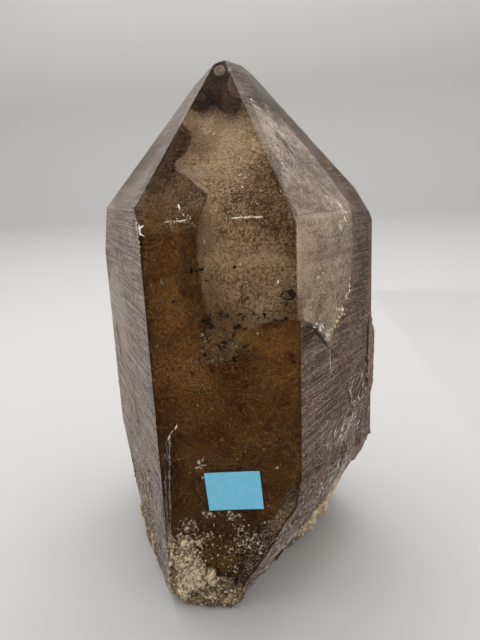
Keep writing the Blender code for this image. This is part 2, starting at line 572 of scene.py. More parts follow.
skinSettings = {
    "growthLine": 0.05,      # fine lines on the smooth front, all in mm proud of the flat faces
    "striae": 0.17,          # steps on the side faces
    "swell": 0.16,           # broad unevenness
    "fibre": 1.5,            # broken, fibrous quartz low on the right
    "break": 1.7,            # broken foot
    "edgeWidth": 2.0,        # the relief fades out towards a crisp edge
    "frontCrowding": 0.5,    # more columns near the left edge of the front
    "grooveDepth": 1.0,      # step of parallel growth along the left edge of the front
    "fibreAngles": {"rightFlank": 80.0, "right": 38.0, "left": 78.0},   # how steeply they climb
    "otherAngle": 70.0,
    "levels": ((0.0, 167.0, 0.72), (167.0, 182.0, 0.5), (182.0, 230.0, 0.8), (230.0, 238.0, 0.4)),
    "top": 238.2,            # levels are heights of rings: from, to and step
}

# Where each side is broken: the upper edge of the break (across, height), how much that edge
# wavers, the size of a waver, its seed, and the soft step across the edge
rearBreak = {"edge": ((0, 62), (1, 62)), "waver": 16.0, "size": 17.0, "seed": 29, "step": (-4.0, 10.0)}
breaks = {
    "right": {
        "edge": ((-31, 66), (-17, 72), (-4, 79), (12, 83), (27, 97), (39, 107), (46, 116)),
        "waver": 2.0, "size": 6.0, "seed": 9, "step": (-2.0, 7.0),
    },
    "left": {
        "edge": ((-60, 52), (-30, 40), (-12, 30), (12, 52), (34, 62)),
        "waver": 5.0, "size": 8.0, "seed": 19, "step": (-4.0, 10.0),
    },
    "backLeft": rearBreak, "backRight": rearBreak, "back": rearBreak,
}
striaeSeeds = {"left": 51, "right": 54, "backLeft": 57, "backRight": 60, "back": 63}

# where the groove of parallel growth runs down the front
grooveLine = ((-27.3, 0), (-26.6, 24), (-24.9, 56), (-22.9, 82), (-22.4, 90))


def fibreRidges(along, across, seed):
    broad = 1 - np.abs(softNoise(along / 26.0, across / 3.6, 0.0, seed))
    fine = 1 - np.abs(softNoise(along / 15.0, across / 1.7, 0.0, seed + 5))
    return 1.3 * (broad - 0.62) + 0.7 * (fine - 0.62)


def tilted(s, z, angle):
    # coordinates along and across lines that climb at an angle
    c, q = math.cos(math.radians(angle)), math.sin(math.radians(angle))
    return s * c + z * q, z * c - s * q


def brokenShare(name, s, z):
    # 0 on sound growth faces, 1 on broken ones
    if name not in breaks:
        return np.zeros(np.shape(s)) if name == "front" else np.ones(np.shape(s))
    b = breaks[name]
    waver = b["waver"] * softNoise(s / b["size"], z / b["size"], 0, b["seed"])
    return rise(np.interp(s, *zip(*b["edge"])) + waver - z, *b["step"])


def broadSwell(s, z):
    return skinSettings["swell"] * layeredNoise(s / 28.0, z / 17.0, 0.0, 31, 2)


def growthRelief(name, s, z):
    # level striae and ledges, all in mm proud of the flat side
    seed = striaeSeeds[name]
    lines = softNoise(s / 22.0, z / 1.5, 0.0, seed) + 1.2 * softNoise(s / 34.0, z / 3.4, 0.0, seed + 1)
    ledge = np.abs(softNoise(s / 60.0, z / 9.0, 0.0, seed + 2))
    return broadSwell(s, z) + skinSettings["striae"] * (lines + 1.5 * ledge)


def frontRelief(s, z):
    r = skinSettings
    lines = softNoise(s / 40.0, z / 1.3, 0.0, 41) + softNoise(s / 60.0, z / 3.7, 0.0, 42)
    fromGroove = s - np.interp(z, *zip(*[point[::-1] for point in grooveLine]))
    depth = r["grooveDepth"] * (1 - rise(z, 80.0, 91.0))
    groove = -depth * np.exp(-(fromGroove / 0.8) ** 2) - 0.35 * depth * rise(-fromGroove, 0.2, 1.0)
    return 0.5 * broadSwell(s, z) + r["growthLine"] * lines + groove


def sideRelief(name, s, z):
    if name == "front":
        return frontRelief(s, z)
    r = skinSettings
    if name in ("right", "rightFlank"):
        ridges = fibreRidges(*tilted(s, z, r["fibreAngles"][name]), 71 if name == "right" else 75)
        rough = r["fibre"] * ridges
    else:
        rough = r["break"] * layeredNoise(s / 8.0, z / 12.0, 0.0, 91, 5, 0.6)
    if name == "rightFlank":
        return rough + 0.7 * layeredNoise(s / 8.0, z / 8.0, 0, 77)
    share = brokenShare(name, s, z)
    sound = growthRelief(name, s, z) if name in striaeSeeds else 0.0
    return sound * (1 - share) + share * rough


def skinLevels():
    spans = [np.arange(*span) for span in skinSettings["levels"]]
    return np.concatenate((*spans, (skinSettings["top"],)))


def makeSkin():
    # rings of points from the foot to the tip, joined by walls and closed at both ends
    rows = []
    for z in skinLevels():
        row = []
        for name, start, end in ringAt(z):
            turn, _, columns = crystalSides[name]
            t = np.linspace(0.0, 1.0, columns, endpoint=False)
            if name == "front":
                crowding = skinSettings["frontCrowding"]
                t = t * (1 - crowding) + t * t * crowding
            points = start + (end - start) * t[:, None]
            length = float(np.hypot(*(end - start)))
            if length > 0.5:
                relief = sideRelief(name, points @ alongSide(turn)[:2], z)
                relief = relief * rise(np.minimum(t, 1 - t) * length, 0.0, skinSettings["edgeWidth"])
                points = points + outward(turn)[:2] * relief[:, None]
            row.append(np.column_stack((points, np.full(len(points), z))))
        rows.append(np.concatenate(row))
    grid = np.array(rows)
    levels, around = grid.shape[:2]
    index = np.arange(levels * around).reshape(levels, around)
    low, high = index[:-1], index[1:]
    walls = np.stack((low, np.roll(low, -1, 1), np.roll(high, -1, 1), high), 2).reshape(-1, 4)
    faces = list(walls) + [index[0][::-1], index[-1]]
    return meshObject("crystalSkin", grid.reshape(-1, 3), faces, cleanup=True)


# Plates of parallel growth, fused to the skin: what each follows, and its extent in mm
growthPlates = {
    "rightPlate": {
        "side": "right", "proud": -1.4, "thickness": 15.0, "edge": "backRight", "reach": 73.0,
        "lean": 0.5, "depth": 14.0, "foot": 80.0, "top": 109.0, "footSlope": 58.0, "topSlope": 66.0,
    },
    "leftPlate": {
        "side": "left", "proud": -0.8, "thickness": 13.0, "edge": "backLeft", "reach": 85.6,
        "lean": 6.8, "depth": 15.0, "foot": 72.0, "top": 140.0, "footSlope": 30.0, "topSlope": 50.0,
    },
    "rearPlate": {
        "side": "back", "proud": 2.2, "thickness": 14.0, "edge": "backRight", "reach": 38.0,
        "lean": 1.0, "depth": 46.0, "foot": 78.0, "top": 121.0, "footSlope": 32.0, "topSlope": 28.0,
    },
}
plateVoxel = 0.75        # size of the grid that gives a plate its uneven skin


def growPlate(name, plate):
    # one plate: a block cleaved along crystal faces, then given an uneven skin
    edgeTurn = crystalSides[plate["edge"]][0]
    sideNormal, sideDistance = sidePlanes[plate["side"]][0]
    sidePoint = sideNormal * (sideDistance + plate["proud"])
    topReach = plate["reach"] - (plate["top"] - plate["foot"]) * math.tan(math.radians(plate["lean"]))

    def edgePoint(reach, height):
        return outward(edgeTurn) * reach + np.array((0.0, 0.0, height))

    cuts = (
        (sidePoint, sideNormal),
        (sidePoint - sideNormal * plate["thickness"], -sideNormal),
        (edgePoint(plate["reach"], plate["foot"]), outward(edgeTurn, 90.0 - plate["lean"])),
        (edgePoint(topReach - plate["depth"], plate["foot"]), -outward(edgeTurn)),
        (edgePoint(topReach, plate["top"]), outward(edgeTurn, plate["topSlope"])),
        (edgePoint(plate["reach"], plate["foot"]), outward(edgeTurn, 180.0 - plate["footSlope"])),
    )
    block = bmesh.new()
    bmesh.ops.create_cube(block, size=400.0, matrix=Matrix.Translation((0.0, 0.0, 100.0)))
    for point, normal in cuts:
        everything = block.verts[:] + block.edges[:] + block.faces[:]
        cut = bmesh.ops.bisect_plane(
            block, geom=everything, dist=1e-4, plane_co=point.tolist(), plane_no=normal.tolist(),
            clear_outer=True,
        )
        rim = [item for item in cut["geom_cut"] if isinstance(item, bmesh.types.BMEdge)]
        if rim:
            bmesh.ops.edgeloop_fill(block, edges=rim)
    bmesh.ops.scale(block, vec=(mm, mm, mm), verts=block.verts[:])
    bmesh.ops.recalc_face_normals(block, faces=block.faces[:])
    mesh = bpy.data.meshes.new(name)
    block.to_mesh(mesh)
    block.free()
    item = linkToScene(bpy.data.objects.new(name, mesh))
    remesh = item.modifiers.new("evenGrid", "REMESH")
    remesh.mode = "VOXEL"
    remesh.voxel_size = plateVoxel * mm
    fine = evaluatedMesh(item)
    bpy.data.objects.remove(item, do_unlink=True)
    at, normal = vertexArray(fine), vertexArray(fine, "normal")
    uneven = 0.55 * layeredNoise(at[:, 0] / 7.0, at[:, 1] / 7.0, at[:, 2] / 2.6, 23, 4, 0.6) - 0.25
    fine.vertices.foreach_set("co", ((at + normal * uneven[:, None]) * mm).ravel())
    fine.update()
    return linkToScene(bpy.data.objects.new(name, fine))


def evaluatedMesh(item):
    bpy.context.view_layer.update()
    graph = bpy.context.evaluated_depsgraph_get()
    return bpy.data.meshes.new_from_object(item.evaluated_get(graph))


def fusePlates(skin):
    # joins the plates with the skin, so that the quartz is one closed mesh
    plates = [growPlate(name, plate) for name, plate in growthPlates.items()]
    for plate in plates:
        union = skin.modifiers.new(plate.name, "BOOLEAN")
        union.operation = "UNION"
        union.solver = "MANIFOLD"
        union.object = plate
    whole = evaluatedMesh(skin)
    whole.materials.clear()
    whole.polygons.foreach_set("material_index", np.zeros(len(whole.polygons), np.int32))
    skin.modifiers.clear()
    skin.data = whole
    for plate in plates:
        bpy.data.objects.remove(plate, do_unlink=True)
    whole.shade_smooth()


def skinTree(skin):
    # for finding the true surface, in mm
    faces = [tuple(polygon.vertices) for polygon in skin.data.polygons]
    return BVHTree.FromPolygons(vertexArray(skin.data).tolist(), faces)


def onSkin(tree, name, s, z, proud):
    # points on the true surface of one side, moved out by an amount; before is where a ray starts
    before, reach = 5.0, 9.0
    flat = under(name, s, z)
    out = outward(crystalSides[name][0])
    way = Vector(out)
    points = flat.reshape(-1, 3).copy()
    for row, point in enumerate(points):
        hit = tree.ray_cast(Vector(point) + before * way, -way, reach)[0]
        points[row] = hit or tree.find_nearest(Vector(point))[0]
    return points.reshape(flat.shape) + np.asarray(proud, float)[..., None] * out


def nearestSide(normals, *skipped):
    # for each normal, the side of the crystal that looks its way
    names = [name for name in crystalSides if name not in skipped]
    facing = [np.max([normals @ normal for normal, _ in sidePlanes[name]], 0) for name in names]
    return np.array(names)[np.argmax(facing, 0)]


# How matte and dusty each side looks: cover of the film, how pale it is, and patches of both as
# (across, height, half width, half height, strength)
filmSettings = {
    "lift": 0.05,            # how far the film stands off the quartz
    "bareLimit": 0.93,       # no film where a face looks to the front or down by more than this
    "cover": {
        "left": 0.66, "right": 0.58, "front": 0.0, "backLeft": 0.5, "backRight": 0.48, "back": 0.44,
        "rightFlank": 0.74, "rearLeftFlank": 0.75, "rearFlank": 0.75, "frontLeftChip": 0.6,
        "rightCorner": 0.5,
    },
    "crownCover": {          # on the faces of the termination
        "left": 0.36, "right": 0.14, "backLeft": 0.34, "backRight": 0.3, "back": 0.3,
    },
    "paleness": {
        "left": 0.59, "right": 0.43, "rightFlank": 0.66, "backLeft": 0.6, "backRight": 0.5,
        "rightCorner": 0.08,
    },
    "warmth": {"left": 0.1, "right": 0.9, "rightFlank": 0.5, "front": 0.8, "rightCorner": 0.8},
    "patches": {
        "rightFlank": {
            "tone": (
                (29, 36, 5, 16, 0.35), (25, 56, 5, 12, 0.3), (-16, 40, 8, 14, -0.12),
                (12, 40, 7, 22, -0.15),
            ),
        },
        "right": {
            "cover": ((2, 228, 9, 13, 0.6), (-9, 222, 6, 12, 0.6), (29, 188, 9, 16, 0.40)),
            "tone": (
                (-14, 98, 18, 18, 0.06), (29, 150, 9, 30, -0.16), (0, 66, 34, 16, 0.2),
                (2, 226, 9, 11, -0.5), (-9, 222, 6, 12, -0.2), (29, 188, 9, 16, -0.26),
                (-24, 128, 7, 5, -0.4), (44, 100, 6, 22, 0.4), (14, 112, 14, 12, -0.08), (23, 72, 5, 10, 0.3),
            ),
        },
        "left": {
            "tone": (
                (-20, 196, 26, 18, -0.5), (-50, 158, 16, 22, -0.16), (-2, 30, 12, 30, -0.12),
                (-34, 124, 26, 26, 0.46), (-10, 160, 18, 18, -0.12),
            ),
        },
    },
    "lensCover": 0.16,       # share of the film left over the pale lens of the right side
    "lensShift": 1.4,        # the sealed lens looks shifted by this much from the side
    "dim": (0.040, 0.024, 0.015, 1.0),
    "mauve": (0.43, 0.36, 0.315, 1.0),
    "tan": (0.34, 0.235, 0.165, 1.0),
    "contrast": 2.3,
    "shares": (0.40, 0.44, 0.16),   # of the lines or fibres, the fine grain and the clouds
}


def markSkin(skin):
    # how frosted, lined, broken and dusty each place of the skin is
    mesh = skin.data
    at, normal = vertexArray(mesh), vertexArray(mesh, "normal")
    side, filmSide = nearestSide(normal), nearestSide(normal, "front")
    fibreAlong, fibreAcross, tone, warmth, glassy, broken, cover = np.zeros((7, len(at)))
    crown = rise(normal[:, 2], 0.35, 0.6)     # 1 on the faces of the termination
    bold = np.where(side == "rightFlank", 1.25, 1 - 0.45 * rise(at[:, 2], 96.0, 124.0))
    for name, (turn, _, _) in crystalSides.items():
        here = filmSide == name
        s, z = at[here] @ alongSide(turn), at[here][:, 2]
        angle = skinSettings["fibreAngles"].get(name, skinSettings["otherAngle"])
        fibreAlong[here], fibreAcross[here] = tilted(s, z, angle)
        broken[here] = brokenShare(name, s, z) * (1 - crown[here])
        upper = filmSettings["crownCover"].get(name, 0.0)
        cover[here] = filmSettings["cover"][name] * (1 - crown[here]) + upper * crown[here]
        tone[here] = filmSettings["paleness"].get(name, 0.5)
        warmth[here] = filmSettings["warmth"].get(name, 0.35)
        local = filmSettings["patches"].get(name, {})
        cover[here] += patches(s, z, local.get("cover", ()), 15)
        tone[here] += patches(s, z, local.get("tone", ()), 16)
        if name == "right":
            outline = roundOutline(veils["rightLensVeil"]["outline"], 1)
            outline = outline - (filmSettings["lensShift"], 0.0)
            gap, _ = nearestRim(s, z, outline)
            over = np.where(insideOutline(s, z, outline), rise(gap, 0.0, 1.4), 0.0)
            cover[here] *= 1 - (1 - filmSettings["lensCover"]) * over
            glassy[here] = np.maximum(over, crown[here])
    front = side == "front"
    broken[front], glassy[front] = 0.0, 0.0
    frost = np.where(front, 0.0, np.where(side == "right", 0.2, 0.45))
    frost[np.isin(side, ("back", "backLeft", "backRight"))] = 0.8
    frost = np.maximum(frost * (1 - 0.8 * glassy), rise(-normal[:, 2], 0.2, 0.45))
    frost = np.clip(frost + 0.15 * layeredNoise(*(at.T / 11.0), 5) * (1 - glassy), 0, 1)
    lined = np.where(front, 0.15, 1.0) * (1 - 0.7 * crown) * (1 - broken) * (1 - 0.8 * glassy)
    marks = {
        "frost": frost, "lined": lined, "broken": broken, "cover": np.clip(cover, 0, 1),
        "tone": np.clip(tone, 0, 1), "warmth": warmth, "fibreAlong": fibreAlong,
        "fibreAcross": fibreAcross, "bold": bold,
    }
    for key, values in marks.items():
        addAttribute(mesh, key, values)


quartzSettings = {
    "tint": (0.97, 0.95, 0.93, 1.0),
    "absorption": (0.64, 0.37, 0.0, 1.0),    # the smoke of the quartz
    "density": 46.0,
    "clearRoughness": 0.10,
    "frostRoughness": 0.42,
    "fibreBump": 1.8,        # depth of broken fibres beside the growth lines
}


def makeQuartz(groups):
    q = quartzSettings
    material, tree, shader = newMaterial(
        "smokyQuartz", Base_Color=q["tint"], IOR=1.544, Transmission_Weight=1.0
    )
    link = tree.links.new
    rough = addNode(tree, "MapRange")
    rough.inputs["To Min"].default_value = q["clearRoughness"]
    rough.inputs["To Max"].default_value = q["frostRoughness"]
    link(attributeValue(tree, "frost"), rough.inputs["Value"])
    link(rough.outputs["Result"], shader.inputs["Roughness"])
    lines = placeGroup(tree, groups["striae"], Spacing=0.5, Reach=26.0, Seed=1.0)
    fibres = placeGroup(tree, groups["fibres"], Width=0.8, Reach=8.0, Seed=2.0)
    lined = mathNode(tree, "MULTIPLY", lines, attributeValue(tree, "lined"))
    broken = mathNode(tree, "MULTIPLY", fibres, attributeValue(tree, "broken"))
    height = mathNode(tree, "MULTIPLY_ADD", broken, q["fibreBump"], lined)
    addBump(tree, shader, height, 1.0, 0.2)
    volume = addNode(tree, "VolumeAbsorption", Color=q["absorption"], Density=q["density"])
    link(volume.outputs["Volume"], tree.nodes["Material Output"].inputs["Volume"])
    return material


def makeFilm(skin, groups):
    # the matte, finely lined skin of the side faces, as a thin layer just proud of them
    f = filmSettings
    block = bmesh.new()
    block.from_mesh(skin.data)
    ways = [Vector(normal) for normal, _ in sidePlanes["front"]] + [Vector((0.0, 0.0, -1.0))]
    bare = [face for face in block.faces if any(face.normal.dot(way) > f["bareLimit"] for way in ways)]
    bmesh.ops.delete(block, geom=bare, context="FACES")
    mesh = bpy.data.meshes.new("matteGrowthFilm")
    block.to_mesh(mesh)
    block.free()
    at, normal = vertexArray(mesh), vertexArray(mesh, "normal")
    mesh.vertices.foreach_set("co", ((at + normal * f["lift"]) * mm).ravel())
    film = linkToScene(bpy.data.objects.new("matteGrowthFilm", mesh))
    material, tree, shader = newMaterial("matteGrowthLines", Roughness=0.6, Specular_IOR_Level=0.25)
    link = tree.links.new
    lines = placeGroup(tree, groups["striae"], Spacing=0.7, Reach=30.0, Low=0.34, High=0.66, Seed=4.0)
    fibres = placeGroup(tree, groups["fibres"], Width=0.7, Reach=9.0, Low=0.38, High=0.62, Seed=5.0)
    grain = placeGroup(tree, groups["grain"], Size=0.45, Seed=6.0)
    cloud = placeGroup(tree, groups["mottling"], Size=8.0, Low=0.35, High=0.65, Seed=7.0)
    pattern = addNode(tree, "Mix", data_type="FLOAT")
    for key, value in (("Factor", attributeValue(tree, "broken")), ("A", lines), ("B", fibres)):
        link(value, pattern.inputs[key])
    body = 0.0
    for mask, share in zip((pattern.outputs["Result"], grain, cloud), f["shares"]):
        body = mathNode(tree, "MULTIPLY_ADD", mask, share, body)
    contrast = mathNode(tree, "MULTIPLY_ADD", body, f["contrast"], -0.5 * f["contrast"])
    contrast = mathNode(tree, "MULTIPLY", contrast, attributeValue(tree, "bold"))
    pale = mathNode(tree, "ADD", contrast, attributeValue(tree, "tone"), clamp=True)
    thickness = mathNode(tree, "MULTIPLY_ADD", body, 0.8, 0.6)
    alpha = mathNode(tree, "MULTIPLY", thickness, attributeValue(tree, "cover"), clamp=True)
    link(alpha, shader.inputs["Alpha"])
    lit = mixColours(tree, attributeValue(tree, "warmth"), f["mauve"], f["tan"])
    link(mixColours(tree, pale, f["dim"], lit), shader.inputs["Base Color"])
    finishPiece(film, material, "smoky_quartz")


# Sheets sealed in the quartz

def roundOutline(points, rounds=2):
    # cuts the corners of a closed outline
    points = np.asarray(points, float)
    for _ in range(rounds):
        after = np.roll(points, -1, 0)
        points = np.stack((0.75 * points + 0.25 * after, 0.25 * points + 0.75 * after), 1).reshape(-1, 2)
    return points


def raggedOutline(points, ragged, seed):
    # walks round an outline in short steps and shifts each a little
    steps = []
    for start, end in zip(points, np.roll(points, -1, 0)):
        count = max(1, int(np.hypot(*(end - start)) / 1.1))
        steps.append(start + (end - start) * np.linspace(0, 1, count, endpoint=False)[:, None])
    steps = np.concatenate(steps)
    shift = [layeredNoise(*(steps.T / 4.5), axis, seed, 3, 0.6) for axis in (0.3, 7.7)]
    return steps + ragged * np.column_stack(shift)


def insideOutline(s, z, outline):
    inside = np.zeros(s.shape, bool)
    for (s0, z0), (s1, z1) in zip(outline, np.roll(outline, -1, 0)):
        crosses = (z0 > z) != (z1 > z)
        if crosses.any():
            inside ^= crosses & (s < (s1 - s0) * (z - z0) / (z1 - z0 + 1e-12) + s0)
    return inside


def nearestRim(s, z, outline):
    # distance to the outline, and the nearest point of it
    best, near = np.full(s.shape, 1e9), np.zeros(s.shape + (2,))
    for start, end in zip(outline, np.roll(outline, -1, 0)):
        edge = end - start
        t = np.clip(((s - start[0]) * edge[0] + (z - start[1]) * edge[1]) / (edge @ edge + 1e-12), 0, 1)
        foot = start + t[..., None] * edge
        gap = np.hypot(s - foot[..., 0], z - foot[..., 1])
        closer = gap < best
        best[closer], near[closer] = gap[closer], foot[closer]
    return best, near


def makeSheet(name, veil):
    # a thin wavy sheet under one side; its body rises from 0 at the rim to 1 inside it
    seed = int(veil["seed"])
    outline = raggedOutline(roundOutline(veil["outline"], veil["rounds"]), veil["ragged"], seed)
    cell = veil["cell"]
    low, high = outline.min(0), outline.max(0)
    s, z = np.meshgrid(*(np.arange(low[axis], high[axis] + cell, cell) for axis in (0, 1)))
    quads = gridQuads(s.shape)
    whole = insideOutline(s, z, outline).ravel()[quads].all(-1)
    used, quads = np.unique(quads[whole], return_inverse=True)
    s, z = s.ravel()[used], z.ravel()[used]
    gap, near = nearestRim(s, z, outline)
    rim = np.bincount(quads.ravel(), minlength=len(used)) < 4
    s, z = np.where(rim, near[:, 0], s), np.where(rim, near[:, 1], z)
    depth = veil["depth"] + veil["wave"] * layeredNoise(s / 16.0, z / 16.0, 0.0, 200 + seed)
    sheet = meshObject(name, under(veil["side"], s, z, depth), quads.reshape(-1, 4))
    gap = np.where(rim, 0.0, gap)
    thickness = np.clip(1.0 + patches(s, z, veil["thinned"], seed), 0.0, 2.0)
    addAttribute(sheet.data, "body", rise(gap, 0.0, veil["fade"]) * thickness)
    band = rise(gap, 0.0, 0.8) * (1 - rise(gap, 1.2, 3.5))     # a frosted band along the rim
    frosted = band + patches(s, z, veil["frosted"], seed + 60)
    addAttribute(sheet.data, "frosted", np.clip(frosted, 0, 1.5))
    addAttribute(sheet.data, "tone", np.clip(veil["tone"] + patches(s, z, veil["toned"], seed + 40), 0, 1))
    return sheet


def makeVeilMaterial(name, veil, groups):
    # cloudy healed fracture: two tones mottled at three sizes, thinning out at the rim
    material, tree, shader = newMaterial(name, Roughness=0.85, Specular_IOR_Level=0.1)
    seed, mixed, coarse = veil["seed"], 0.0, veil["coarse"] * veil["grain"]
    mottling, detail = groups["mottling"], veil["detail"]
    masks = (
        placeGroup(tree, groups["grain"], Size=veil["grain"], Seed=seed),
        placeGroup(tree, mottling, Size=coarse, Low=0.2, High=0.8, Detail=detail, Seed=seed + 1.5),
        placeGroup(tree, mottling, Size=veil["cloud"], Low=0.28, High=0.72, Detail=detail, Seed=seed + 3),
    )
    for mask, share in zip(masks, veil["shares"]):
        mixed = mathNode(tree, "MULTIPLY_ADD", mask, share, mixed)
    contrast = mathNode(tree, "MULTIPLY_ADD", mixed, veil["contrast"], -0.5 * veil["contrast"])
    pale = mathNode(tree, "ADD", attributeValue(tree, "tone"), contrast, clamp=True)
    colour = mixColours(tree, pale, veil["dim"], veil["pale"])
    edge = mathNode(tree, "MULTIPLY", attributeValue(tree, "frosted"), veil["frost"])
    grainy = mathNode(tree, "MULTIPLY_ADD", mixed, 0.8, 0.6)
    edge = mathNode(tree, "MULTIPLY", edge, grainy, clamp=True)
    tree.links.new(mixColours(tree, edge, colour, veil["frostColour"]), shader.inputs["Base Color"])
    patchy = mathNode(tree, "MULTIPLY_ADD", mixed, 2.0 * veil["patchy"], 1.0 - veil["patchy"])
    cover = mathNode(tree, "MULTIPLY", mathNode(tree, "ADD", patchy, edge), veil["cover"])
    alpha = mathNode(tree, "MULTIPLY", cover, attributeValue(tree, "body"), clamp=True)
    tree.links.new(alpha, shader.inputs["Alpha"])
    return material


# What a sheet has unless it says otherwise. Sizes are in mm, and coarse multiplies the grain's.
veilDefaults = {
    "cell": 0.7, "wave": 0.8, "fade": 1.5, "ragged": 0.6, "rounds": 2,
    "grain": 0.5, "coarse": 2.4, "cloud": 9.0, "detail": 4.0,
    "shares": (0.44, 0.20, 0.36),    # of the fine grain, the coarse mottling and the clouds
    "contrast": 1.2, "patchy": 0.3, "cover": 0.8, "tone": 0.5, "toned": (), "thinned": (),
    "frosted": (), "frost": 0.0, "frostColour": (0.88, 0.80, 0.78, 1.0),
}

